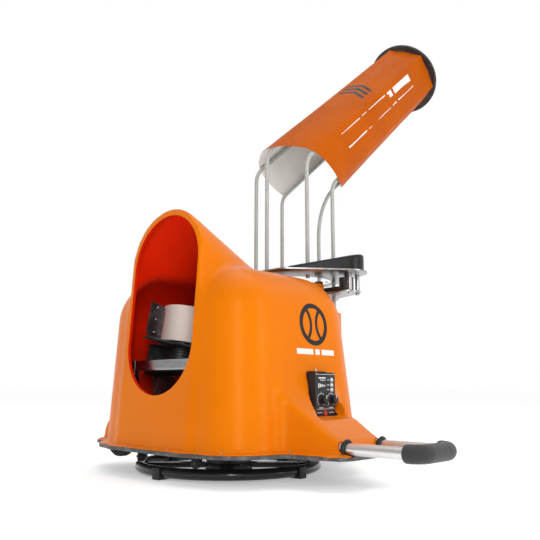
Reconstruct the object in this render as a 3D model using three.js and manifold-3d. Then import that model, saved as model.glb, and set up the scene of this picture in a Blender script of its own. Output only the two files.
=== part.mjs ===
// Ball pitching machine: two-wheel launcher for 220 mm balls, under a moulded shell, on a
// ring base. Millimetres. +X is the throwing direction, +Y is towards the handle, +Z is up.
// The origin is on the floor, in the middle of the base ring.
import * as THREE from 'three';
import { mergeVertices } from 'three/addons/utils/BufferGeometryUtils.js';
import Module from 'manifold-3d';

const wasm = await Module();
wasm.setup();

const { PI, cos, sin, tan, hypot, max, min, abs, sqrt, round } = Math;
const rad = (degrees) => degrees * PI / 180;

// ---------------------------------------------------------------- driving dimensions
const GAP = 0.35;                 // clearance between touching pieces
const BALL = 110;                 // radius of the ball

const RING = { radius: 224, tube: 12.5, z: 16 };
const FEET_TURN = 3;              // the clip-on feet sit this far round from the axes, degrees
const PLATE = { low: 60, high: 68, flange: 20 };
const PAD_TOP = 7.6;
const CROSS = { low: 8, high: 20, halfWidth: 17, hubRadius: 62 };
const SPINDLE_RADIUS = 15;
const TURNTABLE = { radius: 57.5, low: 20.4, bore: 15.6 };
const ROLLER = { radius: 12, length: 16, angles: [28, 152, 208, 332] };

const SKIN = 6;                   // wall of the moulded shell
const BODY = { x: 243, left: 280, right: 268, draftX: 0.06, draftLeft: 0.095, draftRight: 0.01,
  corner: 112, top: 499, crown: 0.0001, shoulder: 106 };
const HOOD = { y: -4, radius: 137, top: 657, ridge: 543, slope: 0.51, back: -110, blend: 26 };
const FACE = { x: 243, z: 188, lean: 0.0646, round: 8 };
const MOUTH = { half: 124, low: 313, high: 506 };
const TAIL = { end: 422, width: 78, flare: 26, low: 90, slope: 0.62, root: 18, draft: 0.2 };
const ARCH = { half: 42, radius: 58, y: -272, z: 80 };
const NICHE = { wall: 266, floor: 132.4, rise: 0.1, from: 2, to: -84, spread: 0.66, round: 60 };
const CHANNEL = { x: -258, radius: 119, rod: 6, low: 300, bend: 841, lean: 41.1, length: 885 };
const TOWER = { radius: 138, top: 440, cut: 421, bore: 139 };
const COLLAR = { radius: 145, z: 508, slope: 0.13, back: -225 };

const CART_WHEEL = { x: 125, y: -300, z: 77, radius: 55, width: 32 };
const HANDLE = { half: 64, z: 83, tube: 12.5, grip: 19, inner: 230, bar: 595, corner: 30 };

const NIP = { x: 25, z: 372 };    // middle of the gap between the throwing wheels at rest
const ELEVATION = 10;             // throwing angle at rest, degrees
const PIVOT_DROP = 100;           // tilt axis below the nip, in the head's own frame
const WHEEL = { radius: 68, y: 161, half: 50, rim: 61.6 };
const CHEEK = { low: 226, high: 231 };
const GEAR = { module: 3, sectorTeeth: 80, pinionTeeth: 18, low: -237.4, high: -231.4, shaft: 5 };
const BRACKET = { left: 234, right: 243, thick: 5 };

const BOX = { x0: -76, x1: -2, y0: 212, y1: 288, z0: 134, z1: 243 };
const FEED = { x: -258, y: 193, upper: 517, lower: 466, sheet: 4 };
const COVER = { x: -252, y: 197, radius: 50, tipX: -115, tipY: 116, tipRadius: 16,
  low: 521.35, tipHigh: 534, rise: 0.195 };

// ---------------------------------------------------------------- materials
const paint = (color, roughness, metalness = 0) =>
  new THREE.MeshStandardMaterial({ color, roughness, metalness });
const ORANGE = paint(0xee8214, 0.4);
const BANNER = paint(0xd06408, 0.6);
const BLACK = paint(0x141414, 0.35, 0.3);
const RUBBER = paint(0x1c1c1c, 0.85);
const GREY = paint(0x4a4a4c, 0.5, 0.4);
const STEEL = paint(0xb9bcc0, 0.3, 0.9);
const ALU = paint(0xc9cbce, 0.35, 0.9);
const WHITE = paint(0xe6e4de, 0.4);
const CREAM = paint(0xe4ddc9, 0.6);
const PANEL = paint(0x26272a, 0.5);

const machine = new THREE.Group();
const head = new THREE.Group();
head.position.set(NIP.x, 0, NIP.z);
head.rotation.y = -rad(ELEVATION);
machine.add(head);

// ---------------------------------------------------------------- solids
function add(name, geometry, material, parent = machine) {
  const mesh = new THREE.Mesh(geometry, material);
  mesh.name = name;
  parent.add(mesh);
  return mesh;
}

function solid(geometry) {
  const plain = geometry.clone();
  plain.deleteAttribute('normal');
  plain.deleteAttribute('uv');
  const merged = mergeVertices(plain, 1e-3);
  return new wasm.Manifold(new wasm.Mesh({
    numProp: 3,
    vertProperties: new Float32Array(merged.attributes.position.array),
    triVerts: new Uint32Array(merged.index.array),
  }));
}

function shape3(manifold) {
  const mesh = manifold.getMesh();
  const geometry = new THREE.BufferGeometry();
  geometry.setAttribute('position', new THREE.BufferAttribute(mesh.vertProperties, 3));
  geometry.setIndex(new THREE.BufferAttribute(mesh.triVerts, 1));
  geometry.computeVertexNormals();
  return geometry;
}

const join = (...geometries) => shape3(geometries.map(solid).reduce((a, b) => a.add(b)));
const cut = (geometry, ...tools) =>
  shape3(tools.map(solid).reduce((a, b) => a.subtract(b), solid(geometry)));

function block(x0, x1, y0, y1, z0, z1) {
  const geometry = new THREE.BoxGeometry(x1 - x0, y1 - y0, z1 - z0);
  return geometry.translate((x0 + x1) / 2, (y0 + y1) / 2, (z0 + z1) / 2);
}

function upright(radius, low, high, x = 0, y = 0, sides = 24) {
  const geometry = new THREE.CylinderGeometry(radius, radius, high - low, sides);
  return geometry.rotateX(PI / 2).translate(x, y, (low + high) / 2);
}

// a round bar along X (axis 0) or Y (axis 1)
function bar(axis, radius, from, to, a, b, sides = 24) {
  const geometry = new THREE.CylinderGeometry(radius, radius, to - from, sides);
  const middle = (from + to) / 2;
  if (axis === 0) return geometry.rotateZ(-PI / 2).translate(middle, a, b);
  return geometry.translate(a, middle, b);
}

// [radius, z] profile turned about Z
function turned(profile, sides = 32) {
  const points = profile.map(([r, z]) => new THREE.Vector2(r, z));
  return new THREE.LatheGeometry(points, sides).rotateX(PI / 2);
}

function pipe(outer, inner, low, high, sides = 32) {
  const profile = [[inner, high], [inner, low], [outer, low], [outer, high], [inner, high]];
  return turned(profile, sides);
}

function outline(points) {
  return new THREE.Shape(points.map(([x, y]) => new THREE.Vector2(x, y)));
}

function plate(shape, low, high, curveSegments = 10) {
  const options = { depth: high - low, bevelEnabled: false, curveSegments };
  return new THREE.ExtrudeGeometry(shape, options).translate(0, 0, low);
}

// a plate that stands in the XZ plane, from y0 to y1
function standing(shape, y0, y1, curveSegments = 10) {
  return plate(shape, -y1, -y0, curveSegments).rotateX(PI / 2);
}

// the convex outline round a set of [x, y, radius] discs
function wrap(discs, step = 12) {
  const cloud = [];
  for (const [x, y, r] of discs) {
    for (let a = 0; a < 360; a += step) cloud.push([x + r * cos(rad(a)), y + r * sin(rad(a))]);
  }
  cloud.sort((p, q) => p[0] - q[0] || p[1] - q[1]);
  const half = (list) => {
    const chain = [];
    for (const p of list) {
      while (chain.length > 1) {
        const [a, b] = chain.slice(-2);
        if ((b[0] - a[0]) * (p[1] - a[1]) - (b[1] - a[1]) * (p[0] - a[0]) > 1e-6) break;
        chain.pop();
      }
      chain.push(p);
    }
    return chain.slice(0, -1);
  };
  return [...half(cloud), ...half([...cloud].reverse())];
}

// A path through chosen stations, so that a tube has steps only where it bends.
class Stations extends THREE.Curve {
  constructor(points) {
    super();
    this.points = points;
  }

  getUtoTmapping(u) {
    return u;
  }

  getPoint(t, target = new THREE.Vector3()) {
    const last = this.points.length - 1;
    return target.copy(this.points[round(t * last)]);
  }

  getTangent(t, target = new THREE.Vector3()) {
    const last = this.points.length - 1;
    const i = round(t * last);
    target.set(0, 0, 0);
    const leg = new THREE.Vector3();
    if (i > 0) target.add(leg.subVectors(this.points[i], this.points[i - 1]).normalize());
    if (i < last) target.add(leg.subVectors(this.points[i + 1], this.points[i]).normalize());
    return target.normalize();
  }
}

function tube(points, radius, sides = 10) {
  const section = new THREE.Shape();
  for (let i = 0; i < sides; i += 1) {
    const a = 2 * PI * (i + 0.5) / sides;
    if (i === 0) section.moveTo(radius * cos(a), radius * sin(a));
    else section.lineTo(radius * cos(a), radius * sin(a));
  }
  const options = { steps: points.length - 1, extrudePath: new Stations(points) };
  return new THREE.ExtrudeGeometry(section, options);
}

// ---------------------------------------------------------------- the shell's outer skin
function blend(a, b, k) {
  const h = min(max(0.5 + 0.5 * (b - a) / k, 0), 1);
  return b * (1 - h) + a * h - k * h * (1 - h);
}

function both(a, b, r) {
  const u = a + r;
  const v = b + r;
  return hypot(max(u, 0), max(v, 0)) + min(max(u, v), 0) - r;
}

function bodySkin(x, y, z) {
  const rise = z - PLATE.low;
  const halfX = BODY.x - BODY.draftX * rise;
  const halfY = y > 0 ? BODY.left - BODY.draftLeft * rise : BODY.right - BODY.draftRight * rise;
  const u = abs(x) - halfX + BODY.corner;
  const v = abs(y) - halfY + BODY.corner;
  const side = hypot(max(u, 0), max(v, 0)) + min(max(u, v), 0) - BODY.corner;
  return both(side, z - BODY.top + BODY.crown * (x * x + y * y), BODY.shoulder);
}

function hoodSkin(x, y, z) {
  const roof = blend(HOOD.ridge + HOOD.slope * x, HOOD.top, 20) - HOOD.radius;
  const side = y - HOOD.y;
  const round2 = z > roof ? hypot(side, z - roof) : abs(side);
  return max((round2 - HOOD.radius) * 0.93, HOOD.back - x);
}

function tailSkin(x, y, z) {
  const t = min(max((TAIL.end + 2 - y) / 162, 0), 1);
  const top = TAIL.low + max(TAIL.end + 2 - y, 0) * TAIL.slope + TAIL.root * t ** 4;
  const width = TAIL.width + TAIL.flare * t ** 2.5 + TAIL.draft * max(min(top, 130) - z, 0);
  const plan = both(abs(x) - width, y - TAIL.end, 14);
  return max(both(plan, (z - top) * 0.8, 12), 190 - y);
}

function archSkin(x, y, z) {
  const across = abs(abs(x) - CART_WHEEL.x) - ARCH.half;
  return both(across, hypot(y - ARCH.y, z - ARCH.z) - ARCH.radius, 14);
}

function towerSkin(x, y, z) {
  const r = hypot(x - CHANNEL.x, y);
  return both(r - TOWER.radius, z - TOWER.top, 16);
}

function collarSkin(x, y, z) {
  const r = hypot(x - CHANNEL.x, y) - COLLAR.radius;
  const top = COLLAR.z + COLLAR.slope * (x - CHANNEL.x - COLLAR.radius);
  return max(r, z - top, COLLAR.back - x);
}

// niche in the root of the tail, in front of the control box; its front side spreads outwards
function niche(x, y, z) {
  const { wall, floor, rise, from, to, spread, round: corner } = NICHE;
  const ground = floor + rise * (y - BOX.y1);
  const across = max(x - from - spread * max(y - wall, 0), to - x);
  return max(both(both(wall - y, ground - z, corner), across, 12), z - 300);
}

function skin(x, y, z) {
  let f = blend(bodySkin(x, y, z), hoodSkin(x, y, z), HOOD.blend);
  f = both(f, x - FACE.x + FACE.lean * (z - FACE.z), FACE.round);
  f = blend(f, tailSkin(x, y, z), 28);
  f = blend(f, archSkin(x, y, z), 26);
  f = blend(f, towerSkin(x, y, z), 30);
  f = blend(f, collarSkin(x, y, z), 8);
  return max(f, -niche(x, y, z));
}

// A closed surface where f = 0, on a grid of the given step: one corner per grid cell that the
// surface crosses, moved onto the surface along its slope.
function skinSolid(f, low, high, step) {
  const count = low.map((v, i) => Math.ceil((high[i] - v) / step) + 1);
  const at = (i, j, k) => (i * count[1] + j) * count[2] + k;
  const values = new Float64Array(count[0] * count[1] * count[2]);
  for (let i = 0; i < count[0]; i += 1) {
    for (let j = 0; j < count[1]; j += 1) {
      for (let k = 0; k < count[2]; k += 1) {
        values[at(i, j, k)] = f(low[0] + i * step, low[1] + j * step, low[2] + k * step);
      }
    }
  }
  const corner = new Map();
  const positions = [];
  const vertexOf = (i, j, k) => {
    const key = at(i, j, k);
    if (corner.has(key)) return corner.get(key);
    const sum = [0, 0, 0];
    let crossings = 0;
    for (let axis = 0; axis < 3; axis += 1) {
      for (let side = 0; side < 4; side += 1) {
        const a = [0, 0, 0];
        a[(axis + 1) % 3] = side & 1;
        a[(axis + 2) % 3] = side >> 1;
        const b = [...a];
        b[axis] = 1;
        const fa = values[at(i + a[0], j + a[1], k + a[2])];
        const fb = values[at(i + b[0], j + b[1], k + b[2])];
        if ((fa < 0) === (fb < 0)) continue;
        a[axis] = fa / (fa - fb);
        a.forEach((v, n) => { sum[n] += v; });
        crossings += 1;
      }
    }
    const p = sum.map((v, n) => low[n] + ([i, j, k][n] + v / crossings) * step);
    for (let pass = 0; pass < 3; pass += 1) {
      const value = f(...p);
      const slope = [0, 1, 2].map((n) => {
        const q = [...p];
        q[n] += 0.5;
        return (f(...q) - value) / 0.5;
      });
      const steep = max(slope.reduce((t, v) => t + v * v, 0), 0.1);
      slope.forEach((v, n) => {
        p[n] -= min(max(value * v / steep, -step / 3), step / 3);
      });
    }
    corner.set(key, positions.length / 3);
    positions.push(...p);
    return corner.get(key);
  };
  const index = [];
  for (let i = 1; i < count[0] - 1; i += 1) {
    for (let j = 1; j < count[1] - 1; j += 1) {
      for (let k = 1; k < count[2] - 1; k += 1) {
        const here = values[at(i, j, k)] < 0;
        const cell = [i, j, k];
        for (let axis = 0; axis < 3; axis += 1) {
          const next = [...cell];
          next[axis] += 1;
          if ((values[at(...next)] < 0) === here) continue;
          const ring = [[0, 0], [-1, 0], [-1, -1], [0, -1]].map(([u, v]) => {
            const c = [...cell];
            c[(axis + 1) % 3] += u;
            c[(axis + 2) % 3] += v;
            return vertexOf(...c);
          });
          const [a, b, c, d] = here ? ring : ring.reverse();
          index.push(a, b, c, a, c, d);
        }
      }
    }
  }
  const geometry = new THREE.BufferGeometry();
  geometry.setAttribute('position', new THREE.Float32BufferAttribute(positions, 3));
  geometry.setIndex(index);
  return geometry;
}

// the shell's plan at a height, moved outwards by an offset
function planAt(z, offset, count) {
  const points = [];
  for (let i = 0; i < count; i += 1) {
    const a = 2 * PI * i / count;
    let inside = 150;
    let outside = 560;
    for (let pass = 0; pass < 24; pass += 1) {
      const r = (inside + outside) / 2;
      if (skin(r * cos(a), r * sin(a), z) < offset) inside = r;
      else outside = r;
    }
    points.push([inside * cos(a), inside * sin(a)]);
  }
  // a point in the middle of a straight edge is left out
  return points.filter(([x, y], i) => {
    const [ax, ay] = points.at(i - 1);
    const [bx, by] = points[(i + 1) % count];
    return abs((bx - ax) * (y - ay) - (by - ay) * (x - ax)) > 0.01 * hypot(bx - ax, by - ay);
  });
}

// ---------------------------------------------------------------- base
const FOOT_TOP = RING.z + RING.tube - 2.5;
const ringTorus = (tubeRadius) =>
  new THREE.TorusGeometry(RING.radius, tubeRadius, 10, 48).translate(0, 0, RING.z);

function base() {
  add('base_ring', ringTorus(RING.tube), BLACK);
  const reach = RING.radius - RING.tube - 2;
  const arm = block(-reach, reach, -CROSS.halfWidth, CROSS.halfWidth, CROSS.low, CROSS.high);
  const cross = join(
    arm.clone().rotateZ(rad(45)),
    arm.clone().rotateZ(rad(-45)),
    upright(CROSS.hubRadius, CROSS.low, CROSS.high, 0, 0, 40),
    upright(SPINDLE_RADIUS, CROSS.low, PLATE.low - 2, 0, 0, 32),
  );
  add('base_cross_with_spindle', cross, BLACK);
  add('centre_pad', upright(CROSS.hubRadius - 2, 0, PAD_TOP, 0, 0, 40), RUBBER);
  ['front', 'left', 'rear', 'right'].forEach((name, i) => {
    const foot = block(RING.radius - 16.5, RING.radius + 16.5, -12, 12, 0, FOOT_TOP);
    foot.rotateZ(rad(FEET_TURN + 90 * i));
    add(`foot_${name}`, cut(foot, ringTorus(RING.tube + 0.5)), RUBBER);
  });
}

// ---------------------------------------------------------------- turning chassis
const ROLLER_Z = RING.z + RING.tube + 0.3 + ROLLER.radius;

// a roller's bracket and pin, for a roller that lies along +X before it is turned round
function rollerBracket(angle) {
  const inner = RING.radius - ROLLER.length / 2;
  const tab = block(inner - 7, inner - 1, -9, 9, ROLLER_Z - 7, PLATE.low + 2);
  const pin = bar(0, 3, inner - 3, RING.radius + ROLLER.length / 2 + 3, 0, ROLLER_Z, 12);
  return [tab, pin].map((part) => part.rotateZ(rad(angle)));
}

function chassis() {
  add('turntable_hub',
    pipe(TURNTABLE.radius, TURNTABLE.bore, TURNTABLE.low, PLATE.low - GAP, 40), GREY);

  const wheelSlot = (side) => block(
    side * CART_WHEEL.x - 20, side * CART_WHEEL.x + 20,
    CART_WHEEL.y - 90, CART_WHEEL.y + 58, PLATE.low - 10, PLATE.high + 10,
  );
  const floor = cut(plate(outline(planAt(66, PLATE.flange, 88)), PLATE.low, PLATE.high),
    wheelSlot(1), wheelSlot(-1));
  add('base_plate', join(floor, ...ROLLER.angles.flatMap(rollerBracket)), GREY);

  ROLLER.angles.forEach((angle, i) => {
    const roller = pipe(ROLLER.radius, 3.4, -ROLLER.length / 2, ROLLER.length / 2, 20);
    roller.rotateY(PI / 2).translate(RING.radius, 0, ROLLER_Z).rotateZ(rad(angle));
    add(`ring_roller_${i + 1}`, roller, RUBBER);
  });

  ['front', 'rear'].forEach((name, i) => {
    const side = i === 0 ? 1 : -1;
    const { x, y, z, radius, width } = CART_WHEEL;
    const wheel = turned([
      [4.4, -12], [14, -12], [14, -7], [radius - 15, -7], [radius - 15, -width / 2],
      [radius - 4, -width / 2], [radius, -width / 2 + 5], [radius, width / 2 - 5],
      [radius - 4, width / 2], [radius - 15, width / 2], [radius - 15, 7], [14, 7], [14, 12],
      [4.4, 12], [4.4, -12],
    ], 26).rotateY(PI / 2).translate(side * x, y, z);
    add(`cart_wheel_${name}`, wheel, RUBBER);
    const inner = side * (x - 30);
    const web = block(min(inner, inner - side * 5), max(inner, inner - side * 5),
      y - 12, y + 40, PLATE.high + 4, z + 12);
    const foot = block(inner - 8 * side - 6, inner - 8 * side + 6, y + 26, y + 40,
      PLATE.high + GAP, PLATE.high + 14);
    const stub = bar(0, 4, min(inner - side * 2, side * (x + 18)),
      max(inner - side * 2, side * (x + 18)), y, z, 16);
    add(`cart_wheel_bracket_${name}`, join(web, foot, stub), STEEL);
  });
}

// ---------------------------------------------------------------- shell
// a round-ended slot drawn across Y and up Z, run along X and leaning back like the face
function acrossFace(half, low, high, behind, ahead) {
  const slot = new THREE.Shape();
  slot.absarc(0, high, half, 0, PI, false);
  slot.absarc(0, low, half, PI, 2 * PI, false);
  const geometry = plate(slot, FACE.x + behind, FACE.x + ahead, 14);
  geometry.rotateZ(PI / 2).rotateY(PI / 2);
  const corners = geometry.attributes.position;
  for (let i = 0; i < corners.count; i += 1) {
    corners.setX(i, corners.getX(i) - FACE.lean * (corners.getZ(i) - FACE.z));
  }
  return geometry;
}

function shell() {
  const low = [-440, -390, 0];
  const high = [290, 480, 690];
  const step = 30;
  const outer = skinSolid((x, y, z) => max(skin(x, y, z), 30 - z), low, high, step);
  const hollow = skinSolid((x, y, z) => max(skin(x, y, z) + SKIN, 30 - z), low, high, step);
  const flange = plate(outline(planAt(66, PLATE.flange - 2, 88)),
    PLATE.high + GAP, PLATE.high + GAP + 4);
  const under = block(-700, 700, -700, 700, -100, PLATE.high + GAP);

  const mouthCut = acrossFace(MOUTH.half, MOUTH.low, MOUTH.high, -28, 60);
  const rim = acrossFace(HOOD.radius - 1, MOUTH.low, MOUTH.high + 3, -22, -2);

  const well = CART_WHEEL.radius + 4;
  const wheelCuts = [1, -1].flatMap((side) => {
    const from = side * CART_WHEEL.x - 20;
    return [
      bar(0, well, from, from + 40, CART_WHEEL.y, CART_WHEEL.z, 32),
      block(from, from + 40, CART_WHEEL.y - 100, CART_WHEEL.y + well, 60, CART_WHEEL.z),
    ];
  });
  const bracketCuts = [1, -1].map((side) => {
    const middle = side * (CART_WHEEL.x - 34);
    return block(middle - 16, middle + 16, CART_WHEEL.y - 16, CART_WHEEL.y + 44,
      60, CART_WHEEL.z + 16);
  });
  const handleCuts = [1, -1].map((side) =>
    bar(1, HANDLE.tube + 3, 372, 470, side * HANDLE.half, HANDLE.z, 24));
  const boxCut = block(BOX.x0 - 3, BOX.x1 + 3, BOX.y0 - 12, BOX.y1 + 6,
    BOX.z0 - 3, BOX.z1 + 3);
  const channelCut = join(upright(TOWER.bore, TOWER.cut, 700, CHANNEL.x, 0, 40),
    upright(TOWER.radius - SKIN - 2, CHANNEL.low + 20, TOWER.cut + 5, CHANNEL.x, 0, 40));

  const skinWithFlange = shape3(
    solid(outer).add(solid(flange)).subtract(solid(hollow)).add(solid(rim)));
  return cut(skinWithFlange, under, mouthCut, ...wheelCuts, ...bracketCuts, ...handleCuts,
    boxCut, channelCut);
}

// ---------------------------------------------------------------- control box
const KNOBS = { left: { x: -23, z: 181 }, right: { x: -60, z: 181 } };
const BUTTONS = { x: -62, z: [203, 214, 226], radius: 4, length: 8, out: 3 };
const TOGGLE = { x: -18, y: 276, radius: 2.5, pivotDrop: 4, high: 10 };

function controls() {
  const face = BOX.y1;
  const wells = BUTTONS.z.map((z) =>
    bar(1, BUTTONS.radius + 0.5, face - 10, face + 5, BUTTONS.x, z, 16));
  const toggleWell = upright(6, BOX.z1 - 10, BOX.z1 + 5, TOGGLE.x, TOGGLE.y, 16);
  const box = cut(block(BOX.x0, BOX.x1, BOX.y0, BOX.y1, BOX.z0, BOX.z1), ...wells, toggleWell);
  add('control_box', box, PANEL);
  for (const [side, { x, z }] of Object.entries(KNOBS)) {
    const cap = bar(1, 9, face + 3, face + 16, x, z, 20);
    const skirt = bar(1, 11.5, face + GAP, face + 4, x, z, 20);
    const pointer = block(x - 1, x + 1, face + 2, face + 17, z, z + 11);
    add(`knob_${side}`, join(cap, skirt, pointer), BLACK);
  }
  BUTTONS.z.forEach((z, i) => {
    const back = face + BUTTONS.out - BUTTONS.length;
    const name = ['low', 'middle', 'high'][i];
    add(`button_${name}`, bar(1, BUTTONS.radius, back, face + BUTTONS.out, BUTTONS.x, z, 16),
      WHITE);
  });
  add('power_toggle',
    upright(TOGGLE.radius, BOX.z1 - 6, BOX.z1 + TOGGLE.high, TOGGLE.x, TOGGLE.y, 12), STEEL);
}

// ---------------------------------------------------------------- pull-out handle
function handlePath(from, corner) {
  const { half, bar: barY, z } = HANDLE;
  const points = [new THREE.Vector3(half, from, z)];
  for (let a = 0; a <= 90; a += 18) {
    points.push(new THREE.Vector3(
      half - corner + corner * cos(rad(a)), barY - corner + corner * sin(rad(a)), z));
  }
  const mirrored = points.map((p) => new THREE.Vector3(-p.x, p.y, p.z)).reverse();
  return [...points, ...mirrored];
}

function handle() {
  add('handle_tube', tube(handlePath(HANDLE.inner, HANDLE.corner), HANDLE.tube, 12), ALU);
  const legEnd = HANDLE.bar - HANDLE.corner - 1;
  const foam = tube(handlePath(legEnd, HANDLE.corner), HANDLE.grip, 12);
  const core = tube(handlePath(legEnd - 20, HANDLE.corner), HANDLE.tube + GAP, 12);
  add('handle_grip', cut(foam, core), RUBBER);
  const ground = PLATE.high + GAP;
  const guide = standing(outline([[-80, ground], [80, ground], [78, 84], [70, 98], [-70, 98],
    [-78, 84]]), 318, 366);
  const bores = [1, -1].map((side) =>
    bar(1, HANDLE.tube + 0.6, 300, 400, side * HANDLE.half, HANDLE.z, 24));
  const middle = block(-48, 48, 300, 400, ground + 8, 120);
  add('handle_guide', cut(guide, ...bores, middle), BLACK);
}

// ---------------------------------------------------------------- supports inside the shell
const BATTERY = [-20, 130, -140, -40, PLATE.high + GAP, 158];
const PIVOT = {
  x: NIP.x + PIVOT_DROP * sin(rad(ELEVATION)),
  z: NIP.z - PIVOT_DROP * cos(rad(ELEVATION)),
};
const PIVOT_PIN = 6;
const PINION_DROP = GEAR.module * (GEAR.sectorTeeth + GEAR.pinionTeeth) / 2;
const CROSSBAR = { x0: 186, x1: 194, half: 150, low: 250, high: 275 };

function supports() {
  const ground = PLATE.high + GAP;
  add('battery', block(...BATTERY), BLACK);

  const pivotHole = bar(1, PIVOT_PIN + 0.4, -260, 260, PIVOT.x, PIVOT.z, 24);
  const cheekShape = (back) => outline([
    [back, ground], [48, ground], [48, 104], [PIVOT.x + 23, 120], [PIVOT.x + 23, PIVOT.z + 22],
    [PIVOT.x - 18, PIVOT.z + 22], [back, 150],
  ]);
  const left = standing(cheekShape(8), BRACKET.left, BRACKET.left + BRACKET.thick);
  const leftFoot = block(8, 48, BRACKET.left - 22, BRACKET.left + 1, ground, ground + 5);
  add('tilt_bracket_left', cut(join(left, leftFoot), pivotHole), GREY);
  const right = standing(cheekShape(-45), -BRACKET.right - BRACKET.thick, -BRACKET.right);
  const rightFoot = block(-45, 48, -BRACKET.right - 1, -BRACKET.right + 14, ground, ground + 5);
  add('tilt_bracket_right', cut(join(right, rightFoot), pivotHole), GREY);

  const { x0, x1, half, low, high } = CROSSBAR;
  const portal = join(
    block(x0, x1, -half - 8, half + 8, low, high),
    ...[1, -1].map((side) => block(x0 - 6, x1 + 2, side * (half + 7.5) - 7.5,
      side * (half + 7.5) + 7.5, ground, high)),
  );
  add('front_crossbar', cut(portal, bar(0, 4.5, x0 - 5, x1 + 5, half - 14, 262, 16)), STEEL);

  const motorZ = PIVOT.z - PINION_DROP;
  add('tilt_motor', join(
    bar(1, 24, -226, -172, PIVOT.x, motorZ, 28),
    bar(1, GEAR.shaft, -240, -220, PIVOT.x, motorZ, 16),
    block(PIVOT.x - 14, PIVOT.x + 14, -216, -182, ground, motorZ - 10),
  ), BLACK);
}

// ---------------------------------------------------------------- ball channel, lower end
const CHUTE = { front: -60, tongue: -100, tongueHalf: 60, sidesEnd: -108,
  inner: 113, outer: 125, sheet: 6, low: 244, high: CHANNEL.low };

function chuteFloorAt(x) {
  const throwLine = NIP.z + (CHUTE.front - NIP.x) * tan(rad(ELEVATION));
  return throwLine - BALL + (CHUTE.front - x) * tan(rad(8));
}

function chute() {
  const arc = (radius) => {
    const points = [];
    for (let a = 90; a <= 270; a += 10) {
      points.push([CHANNEL.x + radius * cos(rad(a)), radius * sin(rad(a))]);
    }
    return points;
  };
  const wide = (radius) => [[CHUTE.sidesEnd, radius], ...arc(radius), [CHUTE.sidesEnd, -radius]];
  const wall = plate(outline([...wide(CHUTE.outer), ...wide(CHUTE.inner).reverse()]),
    CHUTE.low, CHUTE.high);
  const rear = CHANNEL.x - CHUTE.outer;
  const slab = standing(outline([
    [rear, chuteFloorAt(rear) - CHUTE.sheet], [CHUTE.front, chuteFloorAt(CHUTE.front) - CHUTE.sheet],
    [CHUTE.front, chuteFloorAt(CHUTE.front)], [rear, chuteFloorAt(rear)],
  ]), -CHUTE.outer, CHUTE.outer);
  const bed = join(
    plate(outline(wide(CHUTE.outer - 3)), 200, 320),
    block(CHUTE.sidesEnd - 10, CHUTE.front, -CHUTE.tongueHalf, CHUTE.tongueHalf, 200, 320),
  );
  const bottom = shape3(solid(slab).intersect(solid(bed)));
  const legs = [[-340, 55], [-120, 50]].flatMap(([x, y]) => [1, -1].map((side) =>
    block(x - 7, x + 7, side * y - 7, side * y + 7, PLATE.high + GAP, chuteFloorAt(x) - 3)));
  add('ball_chute', join(wall, bottom, ...legs), GREY);
}

// ---------------------------------------------------------------- feeder on top of the shell
const RODS = [
  { name: 'front', beta: 0, bend: 80 },
  { name: 'left_front', beta: 60, bend: 70 },
  { name: 'left_rear', beta: 120, bend: 60 },
  { name: 'rear', beta: 180, bend: 250 },
  { name: 'right_rear', beta: 240, bend: 60 },
  { name: 'right_front', beta: 300, bend: 70 },
];
const isLong = (rod) => cos(rad(rod.beta)) < -0.1;
const rodFoot = (rod) => [
  CHANNEL.x + CHANNEL.radius * cos(rad(rod.beta)), CHANNEL.radius * sin(rad(rod.beta)),
];
const SPACERS = [[-284, 212], [-236, 221]];
const LEVER = { length: 98, hub: 20, tip: 12, low: 475, high: 509, half: 9 };

function rodHoles(rods, z) {
  return rods.map((rod) => upright(CHANNEL.rod + 0.4, z - 4, z + 8, ...rodFoot(rod), 16));
}

function feeder() {
  const { x, y, upper, lower, sheet } = FEED;
  const ballHole = (z) => upright(BALL + 1, z - 5, z + 10, CHANNEL.x, 0, 44);
  const shaftHole = upright(7, upper - 3, upper + 8, x, y, 20);
  const spacerEnd = (z) => SPACERS.map(([px, py]) => upright(3.3, z - 3, z + 8, px, py, 12));

  const upperShape = wrap([[-100, 112, 40], [-100, -112, 40], [-238, 203, 62],
    [CHANNEL.x, 0, 133]], 10);
  add('feed_upper_plate', cut(plate(outline(upperShape), upper, upper + sheet),
    ballHole(upper), shaftHole, ...rodHoles(RODS, upper), ...spacerEnd(upper)), STEEL);

  const lobe = wrap([[x, 195, 38], [-290, 100, 40]], 12);
  const lowerPlate = join(upright(133, lower, lower + sheet, CHANNEL.x, 0, 64),
    plate(outline(lobe), lower, lower + sheet));
  add('feed_lower_plate', cut(lowerPlate, ballHole(lower), ...rodHoles(RODS.filter(isLong), lower),
    ...spacerEnd(lower)), STEEL);

  SPACERS.forEach(([px, py], i) => {
    const tube6 = upright(6, lower + sheet + GAP, upper - GAP, px, py, 16);
    const screw = upright(3, lower - 3, upper + sheet, px, py, 12);
    const headUnder = upright(5.5, lower - 5, lower - GAP, px, py, 12);
    add(`feed_spacer_${i + 1}`, join(tube6, screw, headUnder), STEEL);
  });

  add('feed_motor', join(
    upright(34, COVER.low, 550, x, y, 32),
    upright(5, LEVER.low - 2, COVER.low + 1, x, y, 16),
  ), GREY);

  const arm = block(x - LEVER.half, x + LEVER.half, y - LEVER.length, y,
    LEVER.low, LEVER.low + 12);
  const lever = join(arm, upright(LEVER.hub, LEVER.low, LEVER.high, x, y, 28),
    upright(LEVER.tip, LEVER.low, LEVER.high, x, y - LEVER.length, 24));
  add('feed_lever', cut(lever, upright(5 + GAP, LEVER.low - 5, LEVER.high + 5, x, y, 20)), BLACK);

  add('feed_cover', cover(), BLACK);
}

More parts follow.
